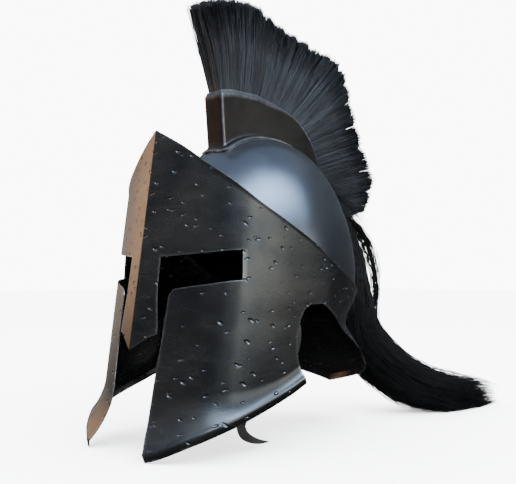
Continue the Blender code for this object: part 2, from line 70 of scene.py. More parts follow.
def smooth_curve(at: Array | float, xs: tuple[float, ...], ys: tuple[float, ...]) -> Array:
    """Cubic Hermite curve through points, flat where they turn and clamped past the ends.

    The slope at a point is the mean of the two chords that meet there.

    Args:
        at: Places to read the curve at.
        xs: Places of the points, rising or falling.
        ys: Values at the points.

    Returns:
        The curve's values.
    """
    x, y = np.asarray(xs, float), np.asarray(ys, float)
    if x[0] > x[-1]:
        x, y = x[::-1], y[::-1]
    chords = np.diff(y) / np.diff(x)
    slopes = np.concatenate([chords[:1], (chords[:-1] + chords[1:]) / 2, chords[-1:]])
    turns = np.concatenate([[False], chords[:-1] * chords[1:] <= 0, [False]])
    slopes = np.where(turns, 0.0, slopes)
    at = np.clip(at, x[0], x[-1])
    i = np.clip(np.searchsorted(x, at, side="right") - 1, 0, len(x) - 2)
    span = x[i + 1] - x[i]
    t = (at - x[i]) / span
    start = y[i] * (1 + 2 * t) * (1 - t) ** 2 + slopes[i] * span * t * (1 - t) ** 2
    end = y[i + 1] * t * t * (3 - 2 * t) + slopes[i + 1] * span * t * t * (t - 1)
    return start + end


def smooth_step(value: Array | float, start: float, end: float) -> Array:
    """3t^2 - 2t^3 of the value's share of the way from start to end, held to 0..1."""
    t = np.clip((value - start) / (end - start), 0, 1)
    return t * t * (3 - 2 * t)


def spaced(counts: tuple[int, ...]) -> Array:
    """Places along stacked lines: 0 to 1 in the first count of steps, 1 to 2 in the next."""
    ends = [i + np.arange(count) / count for i, count in enumerate(counts)]
    return np.append(np.concatenate(ends), len(counts))


def between(lines: Array, places: Array) -> Array:
    """Values between stacked lines, by straight blending.

    Args:
        lines: Values, as lines by any grid.
        places: For each point of the grid, its fractional place among the lines.

    Returns:
        Values in the grid's shape.
    """
    low = np.minimum(places.astype(int), len(lines) - 2)
    part = places - low
    under = np.take_along_axis(lines, low[None], 0)[0]
    over = np.take_along_axis(lines, low[None] + 1, 0)[0]
    return under * (1 - part) + over * part


def circle(steps: int) -> Array:
    """Angles once round, without the last."""
    return np.linspace(0, 2 * np.pi, steps, endpoint=False)


def signed_power(value: Array, power: float) -> Array:
    """The power of the value's size, with the value's sign."""
    return np.sign(value) * np.abs(value) ** power


def unit(vectors: Array) -> Array:
    """Vectors along the last axis, each divided by its length."""
    shortest = 1e-12
    return vectors / np.maximum(np.linalg.norm(vectors, axis=-1, keepdims=True), shortest)


# ---- the helmet's form ------------------------------------------------------------------------


@dataclass(frozen=True)
class Curve:
    """Values along one measure, such as an angle in degrees or a height in metres."""

    at: tuple[float, ...]
    value: tuple[float, ...]

    def read(self, at: Array | float) -> Array:
        """The smooth curve's values at these places."""
        return smooth_curve(at, self.at, self.value)


def evenly(*values: float) -> Curve:
    """A curve through values spaced evenly from 0 to 1."""
    return Curve(tuple(np.linspace(0, 1, len(values))), values)


# Degrees from the ridge, and heights below the crown, at which the form's curves are given.
RIM_ANGLES = (0, 15, 28, 37, 49, 62, 81, 100, 122, 140, 160, 180)
SHELL_HEIGHTS = (0.0, -0.060, -0.130, -0.172, -0.205, -0.260, -0.335)


@dataclass(frozen=True)
class HelmetForm:
    """Sizes and formulas that the sheet pieces share, in metres about the crown."""

    # The sheet, and the table under the helmet.
    wall: float = 0.0014
    table_z: float = -0.3320
    # The front: a leaning ridge, and the panels swept back and bent from it.
    ridge_top: float = 0.1415
    ridge_lean: float = 0.149
    peak_z: float = -0.005
    face_sweep: float = math.radians(14.0)
    ridge_round: float = 0.0045
    face_bend: float = 1.4
    # How sharply panel and side meet, and the oval side, drawn in at the nape.
    cheek_squareness: float = 9.0
    side_oval_length: float = 0.80
    nape_pinch: float = 0.010
    nape_z: float = -0.210
    nape_spread: float = 0.023
    nape_turn: tuple[float, float] = (92.0, 135.0)
    # The flare's lip and the bead along it, then the lip of the top edge.
    lip_height: float = 0.0075
    lip_tuck: float = 0.0016
    bead_rise: float = 0.001
    bead_height: float = 0.0007
    bead_spread: float = 0.0016
    top_lip_height: float = 0.0055
    top_lip_reach: float = 0.0011
    top_lip_power: float = 1.5
    top_lip_start: tuple[float, float] = (14.0, 34.0)
    top_lip_ease: tuple[float, float] = (70.0, 110.0)
    top_lip_rear_share: float = 0.4

    # The oval's reach to the side and behind, by height.
    half_width: Curve = Curve(
        SHELL_HEIGHTS, (0.1020, 0.1075, 0.1100, 0.1100, 0.1095, 0.1095, 0.1095)
    )
    rear: Curve = Curve(SHELL_HEIGHTS, (0.1230, 0.1270, 0.1290, 0.1280, 0.1200, 0.1190, 0.1190))
    # Heights of the sheet's two edges, and the flare above the lower one, by angle.
    top_edge: Curve = Curve(
        RIM_ANGLES,
        (-0.005, -0.0245, -0.0455, -0.0600, -0.0828, -0.1008, -0.1222, -0.1455, -0.1640, -0.1720,
         -0.1750, -0.1760),
    )
    bottom_edge: Curve = Curve(
        RIM_ANGLES,
        (-0.3340, -0.3310, -0.3140, -0.3020, -0.2877, -0.2750, -0.2575, -0.2535, -0.2600, -0.2675,
         -0.2780, -0.2890),
    )
    flare_height: Curve = Curve(
        RIM_ANGLES,
        (0.058, 0.058, 0.046, 0.036, 0.026, 0.022, 0.022, 0.042, 0.049, 0.056, 0.066, 0.077),
    )
    flare_reach: Curve = Curve(
        RIM_ANGLES,
        (0.017, 0.017, 0.013, 0.010, 0.008, 0.007, 0.008, 0.011, 0.0135, 0.0135, 0.0135, 0.0135),
    )
    flare_power: Curve = Curve(
        RIM_ANGLES, (1.8, 1.8, 1.8, 1.8, 1.8, 1.8, 1.8, 1.4, 0.9, 0.9, 0.9, 0.9)
    )
    # Heights of the openings' edges, by angle.
    eye_top: Curve = Curve(
        (0, 9, 26, 41.5, 60, 81, 100, 122, 140, 180),
        (-0.1370, -0.1360, -0.1330, -0.1300, -0.1400, -0.1520, -0.1630, -0.1790, -0.1860, -0.1890),
    )
    eye_bottom: Curve = Curve(
        (0, 9, 14, 14.8, 16, 18, 29, 42, 60, 74, 90, 122, 180),
        (-0.1720, -0.1720, -0.1750, -0.1705, -0.1680, -0.1670, -0.1630, -0.1590, -0.1720, -0.1850,
         -0.1850, -0.2000, -0.2060),
    )
    nasal_end: Curve = Curve(
        (0, 11, 16, 60, 90, 122, 180),
        (-0.2290, -0.2130, -0.2130, -0.2150, -0.2200, -0.2240, -0.2300),
    )
    # Half widths of the nasal and of the gap between the cheeks, by height.
    nasal_edge: Curve = Curve(
        (0.0, -0.060, -0.130, -0.172, -0.213, -0.240),
        (0.0242, 0.0242, 0.0243, 0.0256, 0.0304, 0.0304),
    )
    cheek_edge: Curve = Curve(
        (0.0, -0.130, -0.172, -0.213, -0.263, -0.280, -0.300, -0.314, -0.331),
        (0.0382, 0.0382, 0.0383, 0.0367, 0.0336, 0.0331, 0.0356, 0.0386, 0.0447),
    )
    # Angles of the openings' upright edges, in degrees, by height.
    eye_outer_angle: float = 41.6
    ear_front: Curve = Curve(
        (0.0, -0.180, -0.185, -0.188, -0.193, -0.205, -0.220, -0.236, -0.253, -0.265),
        (78, 78, 77, 74, 71.5, 69, 67.6, 67.8, 70, 72),
    )
    ear_rear: Curve = Curve(
        (0.0, -0.180, -0.185, -0.188, -0.192, -0.198, -0.2184, -0.2271, -0.2389, -0.2548, -0.266),
        (86, 86, 87, 90, 93, 97, 112, 120, 130, 134, 136),
    )

    # The dome, and how the mask laps over it.
    dome_equator_z: float = -0.150
    dome_rise: float = 0.1515
    dome_half_width: float = 0.105
    dome_front: float = 0.124
    dome_rear: float = 0.128
    dome_plan_power: float = 2.4
    dome_height_power: float = 1.67
    dome_lap: float = 0.009
    dome_brow_z: float = -0.112
    lap_gap: float = 0.0009
    lap_above: float = 0.002
    slope_step: float = 0.0005
    tip_reach: float = 0.1927

    def ridge_reach(self, z: Array) -> Array:
        """How far ahead of the crown the ridge lies: straight, leaning forward going down."""
        return self.ridge_top + self.ridge_lean * (self.peak_z - z)

    def panel_angle(self, half_width: Array, z: Array) -> Array:
        """Angle at which a face panel, swept back and bent from the ridge, has this half width."""
        swept = half_width * np.tan(self.face_sweep) + self.face_bend * half_width**2
        return np.arctan2(half_width, self.ridge_reach(z) - swept)

    def shell_radius(self, angle: Array, z: Array) -> Array:
        """Reach of the mask without its flared rims.

        A panel, bent by the square of its distance from the ridge, and an oval are blended by
        a power mean, and the nape is drawn in by a Gaussian ring. The ridge is rounded by a
        hyperbola in place of its corner.

        Args:
            angle: Radians from the ridge.
            z: Heights.

        Returns:
            Distances from the vertical through the crown.
        """
        angle = np.abs(angle)
        ahead, aside = np.cos(angle), np.sin(angle)
        length = np.where(ahead > 0, self.side_oval_length, self.rear.read(z))
        oval = np.hypot(aside / self.half_width.read(z), ahead / length)
        soft_aside = np.hypot(aside, self.ridge_round) - self.ridge_round
        front = self.ridge_reach(z)
        slant = ahead + soft_aside * np.tan(self.face_sweep)
        bend = 4 * self.face_bend * aside**2 * front
        panel = (slant + np.sqrt(slant**2 + bend)) / (2 * front)
        power = self.cheek_squareness
        radius = (oval**power + panel**power) ** (-1 / power)
        behind = smooth_step(np.degrees(angle), *self.nape_turn)
        ring = np.exp(-(((z - self.nape_z) / self.nape_spread) ** 2))
        return radius - self.nape_pinch * behind * ring

    def mask_radius(self, angle: Array, z: Array) -> Array:
        """Reach of the mask with its rims: a flare, a bead along it, and a lip turned down.

        The flare falls off as a power of the height above the lip, the bead is a Gaussian, and
        the lip below it draws in as a square. The top edge leans out in the same way.

        Args:
            angle: Radians from the ridge.
            z: Heights.

        Returns:
            Distances from the vertical through the crown.
        """
        turn = np.degrees(np.abs(angle))
        above = z - self.bottom_edge.read(turn)
        height = self.flare_height.read(turn)
        rise = np.clip((above - self.lip_height) / (height - self.lip_height), 0, 1)
        reach = self.flare_reach.read(turn)
        tuck = np.clip(1 - above / self.lip_height, 0, 1) ** 2
        bead_z = self.lip_height + self.bead_rise
        bead = np.exp(-(((above - bead_z) / self.bead_spread) ** 2))
        below_top = self.top_edge.read(turn) - z
        ease = (1 - self.top_lip_rear_share) * smooth_step(turn, *self.top_lip_ease)
        fade = smooth_step(turn, *self.top_lip_start) * (1 - ease)
        top_lip = np.clip(1 - below_top / self.top_lip_height, 0, 1) ** self.top_lip_power
        return (
            self.shell_radius(angle, z)
            + reach * (1 - rise) ** self.flare_power.read(turn)
            - self.lip_tuck * tuck
            + self.bead_height * bead
            + self.top_lip_reach * fade * top_lip
        )

    def mask_columns(self, z: Array) -> Array:
        """Angles of the lines that run down the mask, from the ridge to the nape.

        Args:
            z: Heights, in any shape.

        Returns:
            Radians from the ridge, one line after the other, each in the heights' shape.
        """
        return np.stack([
            0 * z,
            self.panel_angle(self.nasal_edge.read(z), z),
            self.panel_angle(self.cheek_edge.read(z), z),
            np.radians(self.eye_outer_angle) + 0 * z,
            np.radians(self.ear_front.read(z)),
            np.radians(self.ear_rear.read(z)),
            np.pi + 0 * z,
        ])

    def mask_rows(self, angle: Array) -> Array:
        """Heights of the lines that run round the mask, from the top edge down.

        Args:
            angle: Radians from the ridge, in any shape.

        Returns:
            Heights, one line after the other, each in the angles' shape.
        """
        turn = np.degrees(angle)
        lines = (self.top_edge, self.eye_top, self.eye_bottom, self.nasal_end, self.bottom_edge)
        return np.stack([line.read(turn) for line in lines])

    def dome_radius(self, angle: Array, z: Array) -> Array:
        """Reach of the dome: a superellipse of height times an oval, kept inside the mask's lap.

        Args:
            angle: Radians from the ridge.
            z: Heights.

        Returns:
            Distances from the vertical through the crown.
        """
        rise = np.clip(np.abs(z - self.dome_equator_z) / self.dome_rise, 0, 1)
        scale = (1 - rise**self.dome_height_power) ** (1 / self.dome_plan_power)
        ahead, aside = np.cos(angle), np.sin(angle)
        length = np.where(ahead > 0, self.dome_front, self.dome_rear)
        radius = scale / np.hypot(aside / self.dome_half_width, ahead / length)
        lap = self.top_edge.read(np.degrees(np.abs(angle))) + self.lap_above
        limit = self.shell_radius(angle, z) - self.wall - self.lap_gap
        return np.where(z < lap, np.minimum(radius, limit), radius)

    def dome_height(self, x: Array, y: Array) -> Array:
        """Height of the dome over points of its plan, by the same superellipse.

        Args:
            x: How far to the left of the crown.
            y: How far behind the crown.

        Returns:
            Heights of the outer face.
        """
        length = np.where(y < 0, self.dome_front, self.dome_rear)
        reach = np.clip(np.hypot(x / self.dome_half_width, y / length), 0, 1)
        rise = (1 - reach**self.dome_plan_power) ** (1 / self.dome_height_power)
        return self.dome_equator_z + self.dome_rise * rise

    def on_dome(self, plan: Array, above: Array | float) -> Array:
        """Points off the dome along its normal, from points of its plan.

        Args:
            plan: Rows of x, y.
            above: How far off the dome's outer face.

        Returns:
            Rows of x, y, z.
        """
        x, y = plan[..., 0], plan[..., 1]
        step = self.slope_step
        slope_x = (self.dome_height(x + step, y) - self.dome_height(x - step, y)) / (2 * step)
        slope_y = (self.dome_height(x, y + step) - self.dome_height(x, y - step)) / (2 * step)
        normal = unit(np.stack([-slope_x, -slope_y, 1 + 0 * x], axis=-1))
        foot = np.stack([x, y, self.dome_height(x, y)], axis=-1)
        return foot + normal * np.asarray(above)[..., None]


FORM = HelmetForm()


def polar_point(angle: Array, radius: Array, z: Array) -> Array:
    """Points at an angle from the ridge, a distance from the vertical and a height."""
    return np.stack([radius * np.sin(angle), -radius * np.cos(angle), z + 0 * radius], axis=-1)


def crown_place() -> Array:
    """Finds the crown in the frame, from the boxes of the mask and the dome.

    It lies the tips' reach behind the mask's foremost point, and as far under the dome's top as
    the dome's own sizes say.

    Returns:
        The crown as x, y, z.
    """
    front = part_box("face_mask")[0][1]
    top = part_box("skull_dome")[1][2]
    return np.array([0.0, front + FORM.tip_reach, top - FORM.dome_rise - FORM.dome_equator_z])


CROWN = crown_place()


# ---- finishes ---------------------------------------------------------------------------------


class Slot(Enum):
    """The record's material slots."""

    MASK_STEEL = "blackened_steel"
    DOME_STEEL = "blued_steel"
    DARK_STEEL = "dark_steel"
    HAIR = "black_hair"
    LEATHER = "brown_leather"


class Graph:
    """A node tree, with one call for each node."""

    def __init__(self, owner: bpy.types.ID, output: str) -> None:
        """Empties the tree of a material, light or world and adds its output node.

        Args:
            owner: What holds the tree.
            output: Kind of the output node after the words ShaderNodeOutput.
        """
        owner.use_nodes = True
        self.tree = owner.node_tree
        self.tree.nodes.clear()
        self.output = self.tree.nodes.new("ShaderNodeOutput" + output)

    def add(self, kind: str, inputs: Inputs, **settings: object) -> bpy.types.Node:
        """Adds a node.

        Args:
            kind: Node type after the words ShaderNode.
            inputs: Values or sockets for the node's inputs, by name or place.
            settings: Attributes of the node.

        Returns:
            The node.
        """
        node = self.tree.nodes.new("ShaderNode" + kind)
        for key, value in settings.items():
            setattr(node, key, value)
        for key, value in inputs.items():
            self.feed(node.inputs[key], value)
        return node

    def show(self, shader: bpy.types.Node) -> None:
        """Links a shader to the output."""
        self.tree.links.new(shader.outputs[0], self.output.inputs[0])

    def feed(self, socket: Socket, value: object) -> None:
        """Links a socket to an output, or sets it to a constant.

        Args:
            socket: The input.
            value: An output socket, a number, or a colour or point.
        """
        if isinstance(value, bpy.types.NodeSocket):
            self.tree.links.new(value, socket)
        elif isinstance(value, tuple) and len(value) == 3 and socket.type == "RGBA":
            socket.default_value = (*value, 1.0)
        else:
            socket.default_value = value

    def place(self, scale: Point = (1, 1, 1), turn: Point = (0, 0, 0)) -> Socket:
        """Object coordinates, turned and scaled.

        Args:
            scale: Factor along each axis.
            turn: Degrees about each axis.

        Returns:
            The coordinates.
        """
        coordinates = self.add("TexCoord", {})
        mapping = self.add("Mapping", {
            "Vector": coordinates.outputs["Object"],
            "Rotation": tuple(math.radians(a) for a in turn),
            "Scale": scale,
        })
        return mapping.outputs[0]

    def noise(self, vector: Socket, scale: float, detail: float = 3, warp: float = 0) -> Socket:
        """Fractal noise, about 0.5 in the middle.

        Args:
            vector: Coordinates.
            scale: Waves to the metre.
            detail: How many finer waves are added.
            warp: How far the coordinates are warped first.

        Returns:
            The noise.
        """
        return self.add(
            "TexNoise", {"Vector": vector, "Scale": scale, "Detail": detail, "Distortion": warp}
        ).outputs[0]

    def spread(self, value: Socket, low: float, high: float, start: float, end: float) -> Socket:
        """Maps a value by a smooth step, and holds it beyond the ends.

        Args:
            value: What is mapped.
            low: The value that becomes start.
            high: The value that becomes end.
            start: First result.
            end: Last result.

        Returns:
            The mapped value.
        """
        node = self.add("MapRange", {
            "Value": value, "From Min": low, "From Max": high, "To Min": start, "To Max": end,
        }, interpolation_type="SMOOTHSTEP")
        return node.outputs[0]

    def math(self, operation: str, first: object, second: object = 0.0) -> Socket:
        """The result of one operation on two values."""
        return self.add("Math", {0: first, 1: second}, operation=operation).outputs[0]

    def blend(self, share: Socket, first: object, second: object) -> Socket:
        """Blends two colours.

        Args:
            share: 0 for the first colour, 1 for the second.
            first: A colour or its socket.
            second: A colour or its socket.

        Returns:
            The colour.
        """
        node = self.add("Mix", {}, data_type="RGBA")
        # The node has sockets for each type of data, and these are the ones for colours.
        share_at, first_at, second_at, result_at = 0, 6, 7, 2
        for at, value in ((share_at, share), (first_at, first), (second_at, second)):
            self.feed(node.inputs[at], value)
        return node.outputs[result_at]

    def bump(self, height: Socket, distance: float, before: Socket | None = None) -> Socket:
        """Bends the normal by a height.

        Args:
            height: Shares of the distance, from 0 to 1.
            distance: Metres between the lowest and the highest.
            before: A normal already bent, which is bent further.

        Returns:
            The normal.
        """
        inputs: Inputs = {"Height": height, "Distance": distance, "Strength": 1.0}
        if before is not None:
            inputs["Normal"] = before
        return self.add("Bump", inputs).outputs[0]

    def attribute(self, name: str) -> Socket:
        """A piece's own number at each point."""
        return self.add("Attribute", {}, attribute_name=name).outputs["Fac"]


# Where nearly all of a noise's values lie.
NOISE_SPAN = (0.3, 0.7)


@dataclass(frozen=True)
class Coat:
    """A finish made ready: its material, and the record's slot that it stands for, if any."""

    material: bpy.types.Material
    slot: Slot | None


@dataclass(frozen=True)
class Finish:
    """One Principled shader with a plain colour, unless a kind of finish paints more."""

    name: str
    slot: Slot | None
    dark: Colour
    roughness: float

    def paint(self, graph: Graph) -> Inputs:
        """Returns the shader's inputs by name: a plain colour and roughness, with no nodes added.
        """
        return {"Base Color": self.dark, "Roughness": self.roughness}

    def build(self) -> Coat:
        """Makes the material.

        Returns:
            The coat.
        """
        material = bpy.data.materials.new(self.name)
        graph = Graph(material, "Material")
        graph.show(graph.add("BsdfPrincipled", self.paint(graph)))
        return Coat(material, self.slot)


@dataclass(frozen=True)
class Nicks:
    """Sparse long dimples in a face's own plane, in two scatters that cross.

    A scatter is its turn in degrees and the spacing of its cells in metres. Sizes are shares of
    that spacing.
    """

    depth: float = 0.0011
    share: float = 0.62
    size: tuple[float, float] = (0.075, 0.13)
    flat: float = 0.25
    stretch: float = 1.7
    bare: float = 0.5
    scatters: tuple[tuple[float, float], ...] = ((28.0, 0.0125), (-50.0, 0.0145))

    def scatter(self, graph: Graph, turn: float, cell: float) -> Socket:
        """Dimples near the middles of a share of the cells.

        Args:
            graph: The material's tree.
            turn: How the dimples' long direction is turned, in degrees.
            cell: Spacing of the cells.

        Returns:
            1 in the middle of a dimple, falling to 0 outside.
        """
        plane = graph.add("CombineXYZ", {0: graph.attribute("around"), 1: graph.attribute("rise")})
        place = graph.add("Mapping", {
            "Vector": plane.outputs[0], "Rotation": (0, 0, math.radians(turn)),
            "Scale": (self.stretch, 1.0, 1.0),
        }, vector_type="TEXTURE")
        cells = graph.add(
            "TexVoronoi", {"Vector": place.outputs[0], "Scale": 1 / cell, "Randomness": 1.0},
            voronoi_dimensions="2D",
        )
        chances = graph.add("SeparateColor", {0: cells.outputs["Color"]})
        size = graph.spread(chances.outputs[1], 0.0, 1.0, *self.size)
        inside = graph.math("DIVIDE", cells.outputs["Distance"], size)
        near = graph.spread(inside, self.flat, 1.0, 1.0, 0.0)
        chosen = graph.math("LESS_THAN", chances.outputs[0], self.share)
        return graph.math("MULTIPLY", near, chosen)

    def both(self, graph: Graph) -> Socket:
        """The two scatters together."""
        return graph.math("MAXIMUM", *(self.scatter(graph, *each) for each in self.scatters))


@dataclass(frozen=True)
class SteelFinish(Finish):
    """Dark steel: a mottled tone, a fine wrinkle, smears, bare edges and perhaps nicks.

    The pattern sizes are noise scales, in waves to the metre.
    """

    light: Colour
    bare: Colour
    rougher: float
    ripple: float
    nicks: Nicks | None = None
    patches: float = 14.0
    speckles: float = 160.0
    speckle_span: tuple[float, float] = (0.35, 0.75)
    worn_from: float = 0.55
    smears: float = 30.0
    smear_squash: Point = (1, 1, 3)
    wrinkles: float = 420.0
    wrinkle_squash: Point = (0.8, 0.8, 1.7)

    def paint(self, graph: Graph) -> Inputs:
        """Adds the pattern's nodes.

        The tone is blended by a broad noise and, near an edge, towards bare metal by a fine one.
        The wrinkle is a stretched noise, and the nicks are cut into it.

        Args:
            graph: The material's tree.

        Returns:
            The shader's inputs by name.
        """
        plain = graph.place()
        patches = graph.noise(plain, self.patches, detail=4, warp=0.4)
        tone = graph.blend(graph.spread(patches, *NOISE_SPAN, 0, 1), self.dark, self.light)
        speckle = graph.noise(plain, self.speckles)
        speckle = graph.spread(speckle, *self.speckle_span, self.worn_from, 1.0)
        wear = graph.math("MULTIPLY", graph.attribute("edge"), speckle)
        colour = graph.blend(wear, tone, self.bare)
        smear = graph.noise(graph.place(self.smear_squash), self.smears, detail=2, warp=0.8)
        roughness = graph.spread(smear, *NOISE_SPAN, self.roughness, self.rougher)
        across = graph.place(self.wrinkle_squash)
        wrinkle = graph.noise(across, self.wrinkles, detail=4, warp=1.4)
        normal = graph.bump(wrinkle, self.ripple)
        if self.nicks:
            both = self.nicks.both(graph)
            colour = graph.blend(graph.math("MULTIPLY", both, self.nicks.bare), colour, self.bare)
            normal = graph.bump(graph.math("SUBTRACT", 1.0, both), self.nicks.depth, normal)
        return {"Base Color": colour, "Roughness": roughness, "Metallic": 1.0, "Normal": normal}


@dataclass(frozen=True)
class HairFinish(Finish):
    """Coarse black hair whose tone changes from hair to hair."""

    light: Colour
    gloss: float

    def paint(self, graph: Graph) -> Inputs:
        """Blends the tone by each hair's own number."""
        tone = graph.blend(graph.attribute("tone"), self.dark, self.light)
        return {"Base Color": tone, "Roughness": self.roughness, "Specular IOR Level": self.gloss}


@dataclass(frozen=True)
class LeatherFinish(Finish):
    """Dull brown leather with a pebbled grain and darker, rubbed patches."""

    light: Colour
    rougher: float
    patches: float = 55.0
    pebbles: float = 900.0
    fine: float = 700.0
    relief: float = 0.0002

    def paint(self, graph: Graph) -> Inputs:
        """Adds the grain's nodes: cells and a fine noise, summed to a height.

        Args:
            graph: The material's tree.

        Returns:
            The shader's inputs by name.
        """
        place = graph.place()
        patches = graph.noise(place, self.patches, detail=4)
        patches = graph.spread(patches, *NOISE_SPAN, 0, 1)
        grain = graph.add("TexVoronoi", {"Vector": place, "Scale": self.pebbles})
        fine = graph.noise(place, self.fine)
        height = graph.math("ADD", grain.outputs["Distance"], fine)
        return {
            "Base Color": graph.blend(patches, self.dark, self.light),
            "Roughness": graph.spread(fine, *NOISE_SPAN, self.roughness, self.rougher),
            "Normal": graph.bump(height, self.relief),
        }


MASK_STEEL = SteelFinish(
    "mask_blackened_steel", Slot.MASK_STEEL, dark=(0.046, 0.050, 0.056),
    light=(0.084, 0.085, 0.085), bare=(0.24, 0.25, 0.26), roughness=0.23, rougher=0.28,
    ripple=0.00009, nicks=Nicks(),
)
DOME_STEEL = SteelFinish(
    "dome_blued_steel", Slot.DOME_STEEL, dark=(0.100, 0.115, 0.140),
    light=(0.140, 0.155, 0.180), bare=(0.40, 0.42, 0.46), roughness=0.23, rougher=0.25,
    ripple=0.00004,
)
BOX_STEEL = SteelFinish(
    "box_dark_steel", Slot.DARK_STEEL, dark=(0.026, 0.024, 0.024),
    light=(0.044, 0.041, 0.040), bare=(0.34, 0.34, 0.36), roughness=0.28, rougher=0.34,
    ripple=0.00003,
)
# The crest's copy of the black hair is painted a lighter, bluish tone: partly the hair's own
# colour, partly a painted sheen.
HAIR = HairFinish(
    "black_hair", Slot.HAIR, dark=(0.0022, 0.0025, 0.0031), light=(0.0095, 0.0112, 0.0150),
    roughness=0.45, gloss=0.28,
)
# The tail's copy of the same black hair is painted much darker: a painted shade.
SHADED_TAIL_HAIR = HairFinish(
    "black_hair_tail_painted_shade", Slot.HAIR, dark=(0.0002, 0.0002, 0.0003),
    light=(0.0007, 0.0007, 0.0012), roughness=0.55, gloss=0.2,
)
LEATHER = LeatherFinish(
    "brown_leather", Slot.LEATHER, dark=(0.0016, 0.0011, 0.0008),
    light=(0.0038, 0.0026, 0.0017), roughness=0.5, rougher=0.75,
)
TABLE_WHITE = Finish("table_white", None, dark=(0.90, 0.90, 0.90), roughness=0.9)


# ---- meshes -----------------------------------------------------------------------------------


def grid_quads(rows: int, columns: int, closed: bool, kept: Mask | None = None) -> Array:
    """Corners of a grid's cells, points being stored row by row.

    Args:
        rows: Rows of points.
        columns: Columns of points.
        closed: Whether the last column joins the first.
        kept: Which cells stay, or none for all.

    Returns:
        Rows of four corners.
    """
    row, column = np.meshgrid(np.arange(rows - 1), np.arange(columns - (not closed)), indexing="ij")
    after = (column + 1) % columns
    quads = np.stack([
        row * columns + column, (row + 1) * columns + column,
        (row + 1) * columns + after, row * columns + after,
    ], axis=-1)
    return quads[kept] if kept is not None else quads.reshape(-1, 4)


def new_piece(
    name: str, points: Array, polygons: list[Array], coat: Coat,
    attributes: dict[str, Array] | None = None,
) -> bpy.types.Object:
    """Puts points and polygons into a new piece that rides on the helmet.

    Args:
        name: The piece's name.
        points: Places about the crown, as rows of x, y, z.
        polygons: Arrays of corners, one array for each number of corners.
        coat: Its finish.
        attributes: Numbers at the points, by name.

    Returns:
        The object.
    """
    mesh = bpy.data.meshes.new(name)
    corners = np.concatenate([np.asarray(p).ravel() for p in polygons])
    sizes = np.concatenate([np.full(len(p), np.asarray(p).shape[1]) for p in polygons])
    mesh.vertices.add(len(points))
    mesh.vertices.foreach_set("co", (points + CROWN).astype(np.float32).ravel())
    mesh.loops.add(len(corners))
    mesh.loops.foreach_set("vertex_index", corners.astype(np.int32))
    mesh.polygons.add(len(sizes))
    starts = np.concatenate([[0], np.cumsum(sizes)[:-1]])
    mesh.polygons.foreach_set("loop_start", starts.astype(np.int32))
    mesh.update(calc_edges=True)
    mesh.validate()
    for key, values in (attributes or {}).items():
        layer = mesh.attributes.new(key, "FLOAT", "POINT")
        layer.data.foreach_set("value", values.astype(np.float32).ravel())
    mesh.materials.append(coat.material)
    mesh.shade_smooth()
    piece = bpy.data.objects.new(name, mesh)
    bpy.context.scene.collection.objects.link(piece)
    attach(piece, BODY)
    return piece


def settle(piece: bpy.types.Object) -> None:
    """Applies a piece's modifiers.

    Args:
        piece: The piece, whose mesh is replaced.
    """
    graph = bpy.context.evaluated_depsgraph_get()
    made = bpy.data.meshes.new_from_object(piece.evaluated_get(graph))
    piece.modifiers.clear()
    old = piece.data
    piece.data = made
    bpy.data.meshes.remove(old)
    made.shade_smooth()


def face_out(piece: bpy.types.Object) -> None:
    """Turns every face outwards.

    Args:
        piece: A closed piece.
    """
    work = bmesh.new()
    work.from_mesh(piece.data)
    bmesh.ops.recalc_face_normals(work, faces=work.faces)
    work.to_mesh(piece.data)
    work.free()


def make_sheet(piece: bpy.types.Object, wall: float) -> None:
    """Gives a surface its wall, inwards, and rounds the sheet's cut edges.

    Args:
        piece: The surface.
        wall: Thickness of the sheet.
    """
    rounding, corner = 0.0004, math.radians(55)
    solid = piece.modifiers.new("wall", "SOLIDIFY")
    solid.thickness = wall
    solid.offset = -1
    solid.use_even_offset = True
    bevel = piece.modifiers.new("edge", "BEVEL")
    bevel.width = rounding
    bevel.segments = 2
    bevel.limit_method = "ANGLE"
    bevel.angle_limit = corner
    weigh = piece.modifiers.new("shading", "WEIGHTED_NORMAL")
    weigh.keep_sharp = True
    settle(piece)


def loft(
    name: str, rings: Array, coat: Coat, attributes: dict[str, Array] | None = None
) -> bpy.types.Object:
    """A closed solid through rings of as many points each, with flat ends.

    Args:
        name: The piece's name.
        rings: Points, as rings by places round the ring by x, y, z.
        coat: Its finish.
        attributes: Numbers at the points, by name.

    Returns:
        The piece.
    """
    count, around = rings.shape[:2]
    ends = np.array([np.arange(around), (count - 1) * around + np.arange(around)[::-1]])
    quads = grid_quads(count, around, True)
    piece = new_piece(name, rings.reshape(-1, 3), [quads, ends], coat, attributes)
    face_out(piece)
    return piece


def nearness(points: Array, border: Array, reach: float) -> Array:
    """How near points lie to a border: 1 on it, falling in a straight line to 0 at the reach.

    Args:
        points: Places, in any grid shape.
        border: Places along the border.
        reach: Distance at which the value is 0.

    Returns:
        Values in the points' grid shape.
    """
    flat, chunk_size = points.reshape(-1, 3), 500
    nearest = [
        np.sqrt(((chunk[:, None] - border[None]) ** 2).sum(-1).min(1))
        for chunk in np.array_split(flat, max(len(flat) // chunk_size, 1))
    ]
    return np.clip(1 - np.concatenate(nearest) / reach, 0, 1).reshape(points.shape[:-1])


# ---- the sheet-metal pieces -------------------------------------------------------------------


